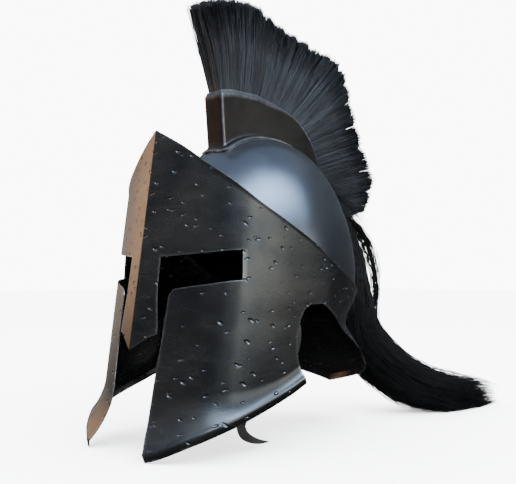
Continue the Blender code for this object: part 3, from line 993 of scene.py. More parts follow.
@dataclass
class FaceMask:
    """The mask and neck guard: one sheet with its eye slots, face opening and ear arches.

    The nicks' plane is the sheet unrolled at the middle radius.
    """

    form: HelmetForm = FORM
    column_steps: tuple[int, ...] = (16, 10, 28, 18, 9, 56)
    row_steps: tuple[int, ...] = (50, 24, 30, 44)
    ridge_crowding: float = 1.6
    worn_reach: float = 0.0016
    middle_radius: float = 0.115
    first_height: float = -0.17
    settling_rounds: int = 60

    def places(self) -> tuple[Array, Array]:
        """Spreads the grid's columns and rows among the form's lines, crowded at the ridge.

        Returns:
            Each point's place among the columns' lines, and among the rows' lines.
        """
        across = spaced(self.column_steps)
        first = across <= 1
        across[first] = across[first] ** self.ridge_crowding
        return np.meshgrid(across, spaced(self.row_steps))

    def grid(self) -> tuple[Array, Array, Array, Array]:
        """Finds where the left half's rows and columns cross.

        A column's angle depends on the height and a row's height on the angle, so both are
        settled by turns.

        Returns:
            Places among the columns' lines, places among the rows' lines, angles, heights.
        """
        across, down = self.places()
        z = np.full(across.shape, self.first_height)
        for _ in range(self.settling_rounds):
            angle = between(self.form.mask_columns(z), across)
            z = 0.5 * z + 0.5 * between(self.form.mask_rows(angle), down)
        return across, down, angle, z

    @staticmethod
    def kept_cells(across: Array, down: Array) -> Mask:
        """Finds the left half's cells outside the eye slot, the face opening and the ear arch.

        Args:
            across: Each point's place among the columns' lines.
            down: Each point's place among the rows' lines.

        Returns:
            Whether each cell is sheet.
        """
        column = (across[:-1, :-1] + across[1:, 1:]) / 2
        row = (down[:-1, :-1] + down[1:, 1:]) / 2
        eye = (column > 1) & (column < 3) & (row > 1) & (row < 2)
        mouth = (column > 1) & (column < 2) & (row > 2)
        chin = (column < 1) & (row > 3)
        ear = (column > 4) & (column < 5) & (row > 2)
        return ~(eye | mouth | chin | ear)

    @staticmethod
    def border_points(kept: Mask) -> Mask:
        """Finds the grid's points on the sheet's edges.

        Args:
            kept: Whether each cell of the closed ring is sheet.

        Returns:
            Whether each point touches both a kept cell and a removed one or the outside.
        """
        padded = np.pad(kept, ((1, 1), (0, 0)))
        padded = np.concatenate([padded[:, -1:], padded], axis=1)
        around = padded[1:, 1:].astype(int) + padded[1:, :-1] + padded[:-1, 1:] + padded[:-1, :-1]
        return (around > 0) & (around < 4)

    def build(self, coat: Coat) -> bpy.types.Object:
        """Builds the mask in place of the plain solid.

        Args:
            coat: Its steel.

        Returns:
            The piece.
        """
        across, down, angle, z = self.grid()
        kept = self.kept_cells(across, down)
        left = polar_point(angle, self.form.mask_radius(angle, z), z)
        left[:, 0, 0] = left[:, -1, 0] = 0
        points = np.concatenate([left, left[:, -2:0:-1] * (-1, 1, 1)], axis=1)
        kept = np.concatenate([kept, kept[:, ::-1]], axis=1)
        rows, columns = points.shape[:2]
        edge = nearness(points, points[self.border_points(kept)], self.worn_reach)
        unrolled = np.arctan2(points[..., 0], -points[..., 1]) * self.middle_radius
        quads = grid_quads(rows, columns, True, kept)
        used, corners = np.unique(quads, return_inverse=True)
        piece = new_piece(
            "mask_sheet", points.reshape(-1, 3)[used], [corners.reshape(-1, 4)], coat,
            {
                "edge": edge.ravel()[used], "around": unrolled.ravel()[used],
                "rise": points[..., 2].ravel()[used],
            },
        )
        make_sheet(piece, self.form.wall)
        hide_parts("face_mask")
        return piece


@dataclass
class SkullDome:
    """The bowl of the helmet, whose hem is lapped by the mask."""

    form: HelmetForm = FORM
    around: int = 200
    rings: int = 64
    worn_reach: float = 0.002

    def build(self, coat: Coat) -> bpy.types.Object:
        """Builds the dome from rings evenly spaced along its superellipse.

        Args:
            coat: Its steel.

        Returns:
            The piece.
        """
        form = self.form
        angle = np.linspace(-np.pi, np.pi, self.around, endpoint=False)
        top = form.top_edge.read(np.degrees(np.abs(angle)))
        hem = np.minimum(top - form.dome_lap, form.dome_brow_z)
        low = (hem - form.dome_equator_z) / form.dome_rise
        power = form.dome_height_power
        start = np.arcsin(signed_power(low, power / 2))
        share = np.linspace(0, 1, self.rings + 1)[1:, None]
        turn = np.pi / 2 + (start - np.pi / 2) * share
        z = np.sign(turn) * np.abs(np.sin(turn)) ** (2 / power)
        z = form.dome_equator_z + form.dome_rise * z
        points = polar_point(angle, form.dome_radius(angle, z), z)
        crown = (0, 0, form.dome_equator_z + form.dome_rise)
        edge = nearness(points, points[-1], self.worn_reach).ravel()
        count = self.rings * self.around
        first = np.arange(self.around)
        cap = np.stack([np.full(self.around, count), first, np.roll(first, -1)], axis=-1)
        piece = new_piece(
            "dome_sheet", np.vstack([points.reshape(-1, 3), crown]),
            [grid_quads(self.rings, self.around, True), cap], coat, {"edge": np.append(edge, 0)},
        )
        make_sheet(piece, form.wall)
        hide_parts("skull_dome")
        return piece


@dataclass
class CrestBox:
    """The open-backed box on the crown that holds the crest: walls, a foot and a turned rim."""

    form: HelmetForm = FORM
    # The plan, and how the walls lean forward and spread at the front.
    half_width: float = 0.014
    front_y: float = -0.059
    rear_y: float = 0.0985
    lean: float = 0.0065
    spread: float = 0.09
    lean_start_y: float = -0.020
    corner: float = 0.003
    # The sheet, and the foot that lies on the dome.
    wall: float = 0.0014
    flange: float = 0.008
    flange_middle: float = 0.55
    foot_bend: float = 0.0016
    foot_gap: float = 0.0004
    least_wall: float = 0.003
    # How finely each stretch is drawn.
    side_steps: int = 60
    corner_steps: int = 6
    front_steps: int = 5
    wall_rows: int = 14
    rim_rows: int = 4
    rim_down: float = 0.9
    # The turned rim, which fades out towards the rear.
    rim_height: float = 0.0055
    rim_lean: float = 0.0035
    rim_least: float = 0.001
    rim_most_share: float = 0.4
    rim_fade_y: tuple[float, float] = (0.062, 0.0)
    # How far from an edge, and how much, the steel is bare.
    worn_reach: float = 0.002
    worn_rim: float = 0.5
    worn_corner: float = 0.7
    # Height of the walls' top edge, by y.
    top: Curve = Curve(
        (-0.066, -0.041, -0.011, 0.008, 0.030, 0.052, 0.069, 0.083, 0.093, 0.0985),
        (0.047, 0.050, 0.050, 0.046, 0.040, 0.031, 0.018, 0.001, -0.022, -0.043),
    )

    def path(self) -> tuple[Array, Array]:
        """Plan of the wall from the left rear end round the front plate to the right rear end.

        Each side is straight, a quarter circle leads into the front plate, and that is straight.

        Returns:
            Points, and the outward direction at each.
        """
        start = self.front_y + self.corner
        side_y = self.rear_y + (start - self.rear_y) * np.linspace(0, 1, self.side_steps)
        side = np.stack([np.full(self.side_steps, self.half_width), side_y], axis=-1)
        turn = np.linspace(0, np.pi / 2, self.corner_steps + 1)[1:]
        inner = self.half_width - self.corner
        bend = np.stack([inner + self.corner * np.cos(turn),
                         start - self.corner * np.sin(turn)], axis=-1)
        front_x = np.linspace(inner, 0, self.front_steps + 1)[1:]
        front = np.stack([front_x, np.full(self.front_steps, self.front_y)], axis=-1)
        half = np.concatenate([side, bend, front])
        out = np.concatenate([
            np.tile((1.0, 0.0), (self.side_steps, 1)),
            np.stack([np.cos(turn), -np.sin(turn)], axis=-1),
            np.tile((0.0, -1.0), (self.front_steps, 1)),
        ])
        flip = (-1, 1)
        return (
            np.concatenate([half, half[-2::-1] * flip]), np.concatenate([out, out[-2::-1] * flip])
        )

    def rows(self) -> tuple[Array, Array]:
        """Rows of points from the rim down to the foot, each along the plan.

        The walls run straight from the top edge to the dome, spreading and leaning forward by a
        smooth step towards the front. The rim turns in above them, and the foot turns out.

        Returns:
            Points as rows by places by x, y, z, and the rim's height at each place.
        """
        path, out = self.path()
        lift = self.wall + self.foot_gap
        flares = (self.foot_bend, self.flange * self.flange_middle, self.flange)
        foot = [self.form.on_dome(path + out * reach, lift) for reach in flares]
        heel = self.form.on_dome(path, lift + self.foot_bend)
        ahead = smooth_step(-path[:, 1], -self.lean_start_y, -self.front_y)
        top_y = path[:, 1] - self.lean * ahead
        top_x = path[:, 0] * (1 + self.spread * ahead)
        top = np.column_stack([top_x, top_y, self.top.read(top_y)])
        top[:, 2] = np.maximum(top[:, 2], heel[:, 2] + self.least_wall)
        rise = top[:, 2] - heel[:, 2]
        strip = self.rim_height * smooth_step(path[:, 1], *self.rim_fade_y)
        strip = np.minimum(strip, rise * self.rim_most_share)
        shoulder = top - (top - heel) * (strip / rise)[:, None]
        walls = shoulder + (heel - shoulder) * np.linspace(0, 1, self.wall_rows)[:, None, None]
        rim = top.copy()
        rim[:, :2] -= out * (self.rim_lean * strip / self.rim_height)[:, None]
        down = np.linspace(0, self.rim_down, self.rim_rows)[:, None, None]
        return np.concatenate([rim + (shoulder - rim) * down, walls, foot]), strip

    def worn(self, rows: Array, strip: Array) -> Array:
        """How bare the steel is: along its edges, on the turned rim and down the two corners.

        Args:
            rows: The sheet's points, as rows by places.
            strip: The rim's height at each place.

        Returns:
            0 for painted to 1 for bare, at each point.
        """
        count, columns = rows.shape[:2]
        border = np.concatenate([rows[0], rows[-1], rows[:, 0], rows[:, -1]])
        worn = nearness(rows, border, self.worn_reach)
        row = np.arange(count)[:, None]
        rim = (row <= self.rim_rows) & (strip > self.rim_least)
        aside = np.abs(np.arange(columns) - columns // 2)
        corner = np.abs(aside - self.front_steps - self.corner_steps // 2) <= 1
        worn = np.maximum(worn, self.worn_rim * rim)
        return np.maximum(worn, self.worn_corner * (corner & (row < count - 3)))

    def build(self, coat: Coat) -> bpy.types.Object:
        """Builds the box's sheet in place of the plain solid.

        Args:
            coat: Its steel.

        Returns:
            The piece.
        """
        rows, strip = self.rows()
        quads = grid_quads(*rows.shape[:2], False)[:, ::-1]
        piece = new_piece(
            "crest_box_sheet", rows.reshape(-1, 3), [quads], coat,
            {"edge": self.worn(rows, strip)},
        )
        make_sheet(piece, self.wall)
        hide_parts("crest_box")
        return piece


# ---- the chin strap ---------------------------------------------------------------------------


@dataclass
class ChinStrap:
    """A strap under the chin, in a left and a right band that meet in a buckle."""

    width: float = 0.016
    thickness: float = 0.0022
    # The loop, and where the buckle holds it.
    anchor_y: float = -0.045
    anchor_z: float = -0.215
    swing: float = 0.033
    half_span: float = 0.1061
    drop: float = 0.084
    end_turn: float = 0.11
    left_points: int = 17
    right_points: int = 30
    settle_turn: tuple[float, float] = (np.pi * 0.5, np.pi * 0.9)
    buckle_turn: float = math.radians(47.0)
    buckle_lap: tuple[float, float] = (0.10, 0.12)
    gap: float = 0.0004
    # How finely the band is drawn.
    finer: int = 5
    section_steps: int = 32
    section_power: float = 0.28
    buckle_length: float = 0.006
    buckle_bar: float = 0.002
    buckle_corner: float = 0.0012
    buckle_corner_points: int = 6
    buckle_power: float = 0.5
    buckle_steps: int = 16
    rivet_radius: float = 0.0048
    rivet_height: float = 0.0018
    rivet_middle: float = 0.0004
    rivet_steps: int = 32
    head_rings: int = 7
    shank_radius: float = 0.0018
    worn_rivet: float = 0.3
    worn_buckle: float = 0.35
    # The free end past the loop: its middle line, the way it faces, and shares of the width.
    end_x: tuple[float, ...] = (0.0648, 0.0695, 0.0745, 0.0780, 0.0797, 0.0798, 0.0795, 0.0790)
    end_y: tuple[float, ...] = (
        -0.0720, -0.0800, -0.0885, -0.0945, -0.0925, -0.0840, -0.0715, -0.0580,
    )
    end_z: tuple[float, ...] = (
        -0.2885, -0.2950, -0.3005, -0.3065, -0.3135, -0.3195, -0.3240, -0.3262,
    )
    end_facing: tuple[float, ...] = (0.70, 0.80, 0.90, 1.0, 1.0, 1.0, 1.0, 1.0)
    end_width: tuple[float, ...] = (1.0, 0.95, 0.85, 0.74, 0.64, 0.50, 0.32, 0.08)

    def loop(self, turn: Array, inset: Array | float = 0.0) -> Array:
        """Middle line: a half oval between the rivets, swung forward by the square of a sine.

        Args:
            turn: Radians round the oval, from the left rivet by way of the chin.
            inset: How far inside the oval.

        Returns:
            Points.
        """
        return np.stack([
            (self.half_span - inset) * np.cos(turn),
            self.anchor_y - self.swing * np.sin(turn) ** 2,
            self.anchor_z - (self.drop - inset) * np.sin(turn),
        ], axis=-1)

    def outward(self, turn: Array) -> Array:
        """The way the half oval's outer side faces."""
        down = -np.sin(turn) / self.drop
        return unit(np.stack([np.cos(turn) / self.half_span, 0 * turn, down], axis=-1))

    def section(self) -> Array:
        """Places round the band's section, a superellipse, as shares of half its sizes."""
        turn = circle(self.section_steps) + np.pi / self.section_steps
        return signed_power(np.stack([np.cos(turn), np.sin(turn)], axis=-1), self.section_power)

    def band(
        self, name: str, middle: Array, outward: Array, width: Array, coat: Coat
    ) -> bpy.types.Object:
        """Sweeps the section along a route, its thickness set along the outward direction.

        Args:
            name: The piece's name.
            middle: Points of the route.
            outward: The way the outer face looks at each point.
            width: Width at each point.
            coat: The leather.

        Returns:
            The piece.
        """
        knots = np.linspace(0, 1, len(middle))
        fine = np.linspace(0, 1, len(middle) * self.finer)
        reads = [smooth_curve(fine, knots, column) for column in (*middle.T, *outward.T, width)]
        middle, outward, width = np.stack(reads[:3], -1), np.stack(reads[3:6], -1), reads[6]
        ahead = unit(np.gradient(middle, axis=0))
        outward = unit(outward - ahead * np.sum(outward * ahead, axis=1)[:, None])
        wide = np.cross(ahead, outward) * (width / 2)[:, None]
        thick = outward * self.thickness / 2
        section = self.section()
        rings = (
            middle[:, None] + wide[:, None] * section[:, 0, None]
            + thick[:, None] * section[:, 1, None]
        )
        return loft(name, rings, coat)

    def build_straps(self, coat: Coat) -> list[bpy.types.Object]:
        """Builds the left band with its free end, and the right band.

        The right band runs inside the left one at the buckle and on the oval at its rivet.

        Args:
            coat: The leather.

        Returns:
            The bands.
        """
        past, before = self.buckle_lap
        turn = np.linspace(-self.end_turn, self.buckle_turn + past, self.left_points)
        free_end = np.stack([self.end_x, self.end_y, self.end_z], axis=-1)
        facing = np.array(self.end_facing)[:, None]
        middle = np.concatenate([self.loop(turn), free_end])
        outward = np.concatenate([self.outward(turn), np.hstack([facing, 0 * facing, facing - 1])])
        width = self.width * np.concatenate([np.ones(len(turn)), self.end_width])
        left = self.band("strap_left_leather", middle, outward, width, coat)
        turn = np.linspace(self.buckle_turn - before, np.pi + self.end_turn, self.right_points)
        inset = (self.thickness + self.gap) * (1 - smooth_step(turn, *self.settle_turn))
        width = np.full(len(turn), self.width)
        right = self.band(
            "strap_right_leather", self.loop(turn, inset), self.outward(turn), width, coat
        )
        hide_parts("chin_strap_left")
        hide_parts("chin_strap_right")
        return [left, right]

    def build_rivets(self, coat: Coat) -> list[bpy.types.Object]:
        """Builds two rivets, a quarter oval turned round, whose shanks end inside the straps.

        Args:
            coat: Their steel.

        Returns:
            The rivets.
        """
        inner = self.half_span - self.thickness / 2 - self.gap
        out = np.linspace(0, 1, self.head_rings)
        heads = inner - self.rivet_height * np.sqrt(1 - out**2)
        radii = np.clip(self.rivet_radius * out, self.rivet_middle, None)
        along = np.append(heads, [inner, inner + self.thickness * 0.5])
        radius = np.append(radii, [self.shank_radius, self.shank_radius])
        turn = circle(self.rivet_steps)
        rivets = []
        for side, word in ((1, "left"), (-1, "right")):
            rings = np.stack([
                side * along[:, None] + 0 * turn,
                radius[:, None] * np.cos(turn) + self.anchor_y,
                radius[:, None] * np.sin(turn) + self.anchor_z,
            ], axis=-1)
            edge = np.full(rings.shape[:2], self.worn_rivet)
            rivet = loft(f"rivet_{word}_steel", rings, coat, {"edge": edge})
            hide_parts(f"strap_rivet_{word}")
            rivets.append(rivet)
        return rivets

    def build_buckle(self, coat: Coat) -> bpy.types.Object:
        """Builds the ring round both straps: a rounded bar swept round a rectangle.

        Args:
            coat: Its steel.

        Returns:
            The piece.
        """
        inset, step = (self.thickness + self.gap) / 2, 0.01
        middle = self.loop(np.array(self.buckle_turn), inset)
        pair = self.loop(self.buckle_turn + np.array((-step, step)), inset)
        ahead = unit(pair[1] - pair[0])
        outward = self.outward(np.array(self.buckle_turn))
        outward = unit(outward - ahead * (outward @ ahead))
        wide = np.cross(ahead, outward)
        half_wide = self.width / 2 + 2 * self.gap + self.buckle_bar / 2
        half_deep = self.thickness + self.gap * 1.5 + self.buckle_bar / 2
        quarter = np.linspace(0, np.pi / 2, self.buckle_corner_points)
        corner, count = self.buckle_corner, len(quarter)
        turn = np.concatenate([quarter + i * np.pi / 2 for i in range(4)])
        side = np.repeat([1, -1, -1, 1], count) * (half_wide - corner) + corner * np.cos(turn)
        face = np.repeat([1, 1, -1, -1], count) * (half_deep - corner) + corner * np.sin(turn)
        inner = side[:, None] * wide + face[:, None] * outward
        radial = np.cos(turn)[:, None] * wide + np.sin(turn)[:, None] * outward
        around = circle(self.buckle_steps)
        bar = signed_power(np.cos(around), self.buckle_power) * self.buckle_bar / 2
        length = signed_power(np.sin(around), self.buckle_power) * self.buckle_length / 2
        rings = (
            middle + inner[:, None] + radial[:, None] * bar[:, None] + ahead * length[:, None]
        )
        total = rings.shape[0] * self.buckle_steps
        quads = grid_quads(rings.shape[0] + 1, self.buckle_steps, True) % total
        edge = np.full(total, self.worn_buckle)
        piece = new_piece("buckle_ring", rings.reshape(-1, 3), [quads], coat, {"edge": edge})
        face_out(piece)
        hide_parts("strap_buckle")
        return piece


# ---- the hair ---------------------------------------------------------------------------------


@dataclass(frozen=True)
class Strands:
    """How a bunch of hairs is made: how many, how thick, and how many points along each."""

    count: int
    radius: float
    rings: int
    seed: int
    taper: float
    thinnest: float
    varied: float

    def radii(self, at: Array, random: np.random.Generator) -> Array:
        """Draws each hair's radius, which shrinks along it.

        Args:
            at: Shares of the way along a hair.
            random: Source of the draws.

        Returns:
            Radii, as hairs by shares.
        """
        thickness = self.thinnest + self.varied * random.random(self.count)
        return self.radius * (1 - self.taper * at) * thickness[:, None]


def strand_mesh(
    name: str, paths: Array, radii: Array, tone: Array, coat: Coat
) -> bpy.types.Object:
    """Three-sided tapering hairs along paths, in one piece.

    Args:
        name: The piece's name.
        paths: Points, as hairs by rings by x, y, z.
        radii: Radius at each ring of each hair; the last ring is drawn to a point.
        tone: A number from 0 to 1 for each hair.
        coat: The hair's finish.

    Returns:
        The piece.
    """
    count, rings = paths.shape[:2]
    ahead, off_every_hair = unit(np.gradient(paths, axis=1)), np.array((0.37, -0.21, 0.9))
    aside = unit(np.cross(ahead, off_every_hair))
    above = np.cross(aside, ahead)
    turn = np.arange(3) * 2 * np.pi / 3
    ring = (
        aside[:, :, None] * np.cos(turn)[:, None] + above[:, :, None] * np.sin(turn)[:, None]
    ) * radii[:, :, None, None]
    body = paths[:, :-1, None] + ring[:, :-1]
    points = np.concatenate([body.reshape(count, -1, 3), paths[:, -1:]], axis=1)
    each = (rings - 1) * 3 + 1
    start = np.arange(count)[:, None, None] * each
    quads = (start + grid_quads(rings - 1, 3, True)[None, :, ::-1]).reshape(-1, 4)
    last = (rings - 2) * 3
    tip = np.array([[last, (rings - 1) * 3, last + 1], [last + 1, (rings - 1) * 3, last + 2],
                    [last + 2, (rings - 1) * 3, last], [0, 1, 2]])
    triangles = (start + tip[None]).reshape(-1, 3)
    tones = {"tone": np.repeat(tone, each)}
    return new_piece(name, points.reshape(-1, 3), [quads, triangles], coat, tones)


def quadratic(start: Array, control: Array, end: Array, at: Array) -> Array:
    """Points of many quadratic curves at once.

    Args:
        start: Each curve's first point.
        control: Each curve's control point.
        end: Each curve's last point.
        at: Shares of the way, as a column.

    Returns:
        Points, as curves by shares by x, y, z.
    """
    start, control, end = start[:, None], control[:, None], end[:, None]
    return (1 - at) ** 2 * start + 2 * at * (1 - at) * control + at**2 * end


FAN_SHARES = (0.0, 0.10, 0.20, 0.30, 0.40, 0.50, 0.60, 0.68, 0.76, 0.84, 0.92, 1.0)


@dataclass
class CrestHair:
    """The fan of coarse hair that stands in the crest box, trimmed in blunt locks."""

    form: HelmetForm = FORM
    # Half widths across the fan, from the roots to the tips.
    root_half: float = 0.0100
    root_lift: float = 0.004
    fan_half: float = 0.0180
    inner_share: float = 0.2
    tip_share: float = 0.80
    # Locks, shared by both sides.
    locks: int = 19
    lock_seed: int = 5
    lock_sway: float = 0.005
    lock_pull: float = 0.10
    lock_groove: float = 0.10
    end_crowding: tuple[float, float] = (0.08, 0.03)
    # Where a hair ends, as a share of the way from rim to tip.
    longest: float = 1.01
    lock_cut: float = 0.030
    lock_rounding: float = 0.014
    ragged: float = 0.04
    short_hairs: float = 0.12
    shortest: float = 0.6
    # Hairs that stray forward, and how all of them wander and bow.
    front_part: float = 0.01
    front_strays: float = 0.06
    stray_reach: float = 0.009
    tip_jitter: float = 0.0012
    jitter: float = 0.0007
    bow: float = 0.0045
    bow_front: tuple[float, float] = (0.35, 0.0)
    bow_rear: tuple[float, float] = (0.65, 1.0)
    knots: tuple[float, ...] = (0.0, 0.5, 0.93, 1.0)
    # A middle tone, how much it changes by lock, and how much by hair.
    tone: tuple[float, float, float] = (0.30, 0.25, 0.38)
    brightest: float = 1.6
    core_ends: tuple[float, float] = (0.07, 0.93)
    core_length: float = 0.84
    core_rings: int = 70
    left: Strands = Strands(8600, 0.00046, 5, seed=11, taper=0.25, thinnest=0.7, varied=0.6)
    right: Strands = Strands(8600, 0.00046, 5, seed=12, taper=0.25, thinnest=0.7, varied=0.6)
    # The fan's middle, from front to rear: its roots, the box's rim, and its tips.
    root_y: Curve = Curve(
        FAN_SHARES,
        (-0.050, -0.032, -0.012, 0.006, 0.022, 0.037, 0.050, 0.059, 0.067, 0.078, 0.094, 0.108),
    )
    rim_y: Curve = Curve(
        FAN_SHARES,
        (-0.0610, -0.042, -0.021, 0.000, 0.019, 0.036, 0.052, 0.063, 0.074, 0.090, 0.112, 0.132),
    )
    rim_z: Curve = Curve(
        FAN_SHARES,
        (0.0465, 0.0495, 0.0495, 0.0480, 0.0430, 0.0370, 0.0305, 0.0225, 0.0100, -0.016, -0.052,
         -0.090),
    )
    tip_y: Curve = Curve(
        FAN_SHARES,
        (-0.087, -0.056, -0.019, 0.016, 0.054, 0.094, 0.131, 0.152, 0.167, 0.185, 0.206, 0.189),
    )
    tip_z: Curve = Curve(
        FAN_SHARES,
        (0.142, 0.151, 0.153, 0.142, 0.130, 0.123, 0.114, 0.094, 0.055, 0.013, -0.030, -0.071),
    )

    def lines(self, share: Array) -> tuple[Array, Array, Array]:
        """Points of the fan's middle, where x is 0.

        Args:
            share: 0 at the front to 1 at the rear.

        Returns:
            Points at the roots, at the box's rim and at the tips.
        """
        zero, root_y = 0 * share, self.root_y.read(share)
        root_z = self.form.dome_height(zero, root_y) + self.root_lift
        return (
            np.stack([zero, root_y, root_z], -1),
            np.stack([zero, self.rim_y.read(share), self.rim_z.read(share)], -1),
            np.stack([zero, self.tip_y.read(share), self.tip_z.read(share)], -1),
        )

    def hairs(self, strands: Strands, side: int) -> tuple[Array, Array, Array]:
        """Works out one side's hairs.

        Locks are cut to their own lengths, a little rounded at the end by a cube, and both sides
        share them. A hair stands straight from its root to the rim. From there it follows a
        quadratic curve, drawn slightly towards its lock's middle. A few hairs are short, and a
        few at the front stray forward.

        Args:
            strands: How many hairs and how thick.
            side: 1 for the left half, -1 for the right.

        Returns:
            Paths, radii and tones.
        """
        pattern = np.random.default_rng(self.lock_seed)
        cut, shade = pattern.random(self.locks), pattern.random(self.locks)
        sway = pattern.normal(0, self.lock_sway, self.locks)
        random = np.random.default_rng(strands.seed)
        count = strands.count
        front, rear = self.end_crowding
        share = np.clip(random.random(count) * (1 + front + rear) - front, 0, 1)
        depth = random.random(count)
        depth = np.where((share > 0) & (share < 1), np.sqrt(depth), depth)
        lock = np.minimum((share * self.locks).astype(int), self.locks - 1)
        off_middle = 2 * (share * self.locks - lock) - 1
        root, rim, tip = self.lines(share)
        lock_middle = np.clip((lock + 0.5) / self.locks + sway[lock], 0, 1)
        pull = (self.lock_pull * random.random(count))[:, None]
        tip += (self.lines(lock_middle)[2] - tip) * pull
        length = self.longest - self.lock_cut * cut[lock]
        length -= self.lock_rounding * np.abs(off_middle) ** 3
        length -= self.ragged * random.random(count) ** 2
        short = random.random(count) < self.short_hairs
        shorter = self.shortest + (1 - self.shortest) * random.random(count)
        tip = rim + (tip - rim) * (length * np.where(short, shorter, 1))[:, None]
        stray = (share < self.front_part) & (random.random(count) < self.front_strays)
        tip[:, 1] -= self.stray_reach * random.random(count) * stray
        root[:, 0] = rim[:, 0] = side * self.root_half * depth
        bulge = self.fan_half * (self.inner_share + (1 - self.inner_share) * depth)
        bulge *= 1 - self.lock_groove * (1 - np.cos(np.pi * off_middle))
        tip[:, 0] = side * bulge * self.tip_share + random.normal(0, self.tip_jitter, count)
        control = (rim + tip) / 2
        control[:, 0] = side * bulge
        control[:, 1] += self.bow * smooth_step(share, *self.bow_front)
        control[:, 2] += self.bow * smooth_step(share, *self.bow_rear)
        at = np.array(self.knots)[:, None]
        curve = quadratic(rim, control, tip, at)
        curve += random.normal(0, self.jitter, curve.shape) * at
        paths = np.concatenate([root[:, None], curve], axis=1)
        radii = strands.radii(np.append(0, at[:, 0]), random)
        middle, by_lock, by_hair = self.tone
        tone = middle + by_lock * shade[lock] + random.normal(0, by_hair, count)
        return paths, radii, np.clip(tone, 0, self.brightest)

    def core(self, coat: Coat) -> bpy.types.Object:
        """A dark body deep under the hairs, so that no light comes through the fan.

        Its section is drawn through points part of the way from root to rim and rim to tip, each
        a share of the fan's half width off the middle.

        Args:
            coat: The hair's finish.

        Returns:
            The piece.
        """
        share = np.linspace(*self.core_ends, self.core_rings)
        root, rim, tip = self.lines(share)
        tip = rim + (tip - rim) * self.core_length
        profile = (
            (root, rim, 0.0, 0.50), (root, rim, 1.0, 0.45), (rim, tip, 0.5, 0.40),
            (rim, tip, 1.0, 0.10),
        )
        rings = np.stack([
            start + (end - start) * along + (side * half * self.fan_half, 0, 0)
            for side in (1, -1) for start, end, along, half in profile[::side]
        ], axis=1)
        tone = {"tone": np.zeros(rings.shape[:2])}
        return loft("crest_core", rings, coat, tone)

    def build(self, coat: Coat) -> list[bpy.types.Object]:
        """Builds the core and both sides' hairs in place of the plain solid.

        Args:
            coat: The hair's finish.

        Returns:
            The pieces.
        """
        pieces = [self.core(coat)]
        for word, side, strands in (("left", 1, self.left), ("right", -1, self.right)):
            pieces.append(strand_mesh(f"crest_hair_{word}", *self.hairs(strands, side), coat))
        for piece in pieces:
            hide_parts("crest_plume")
        return pieces


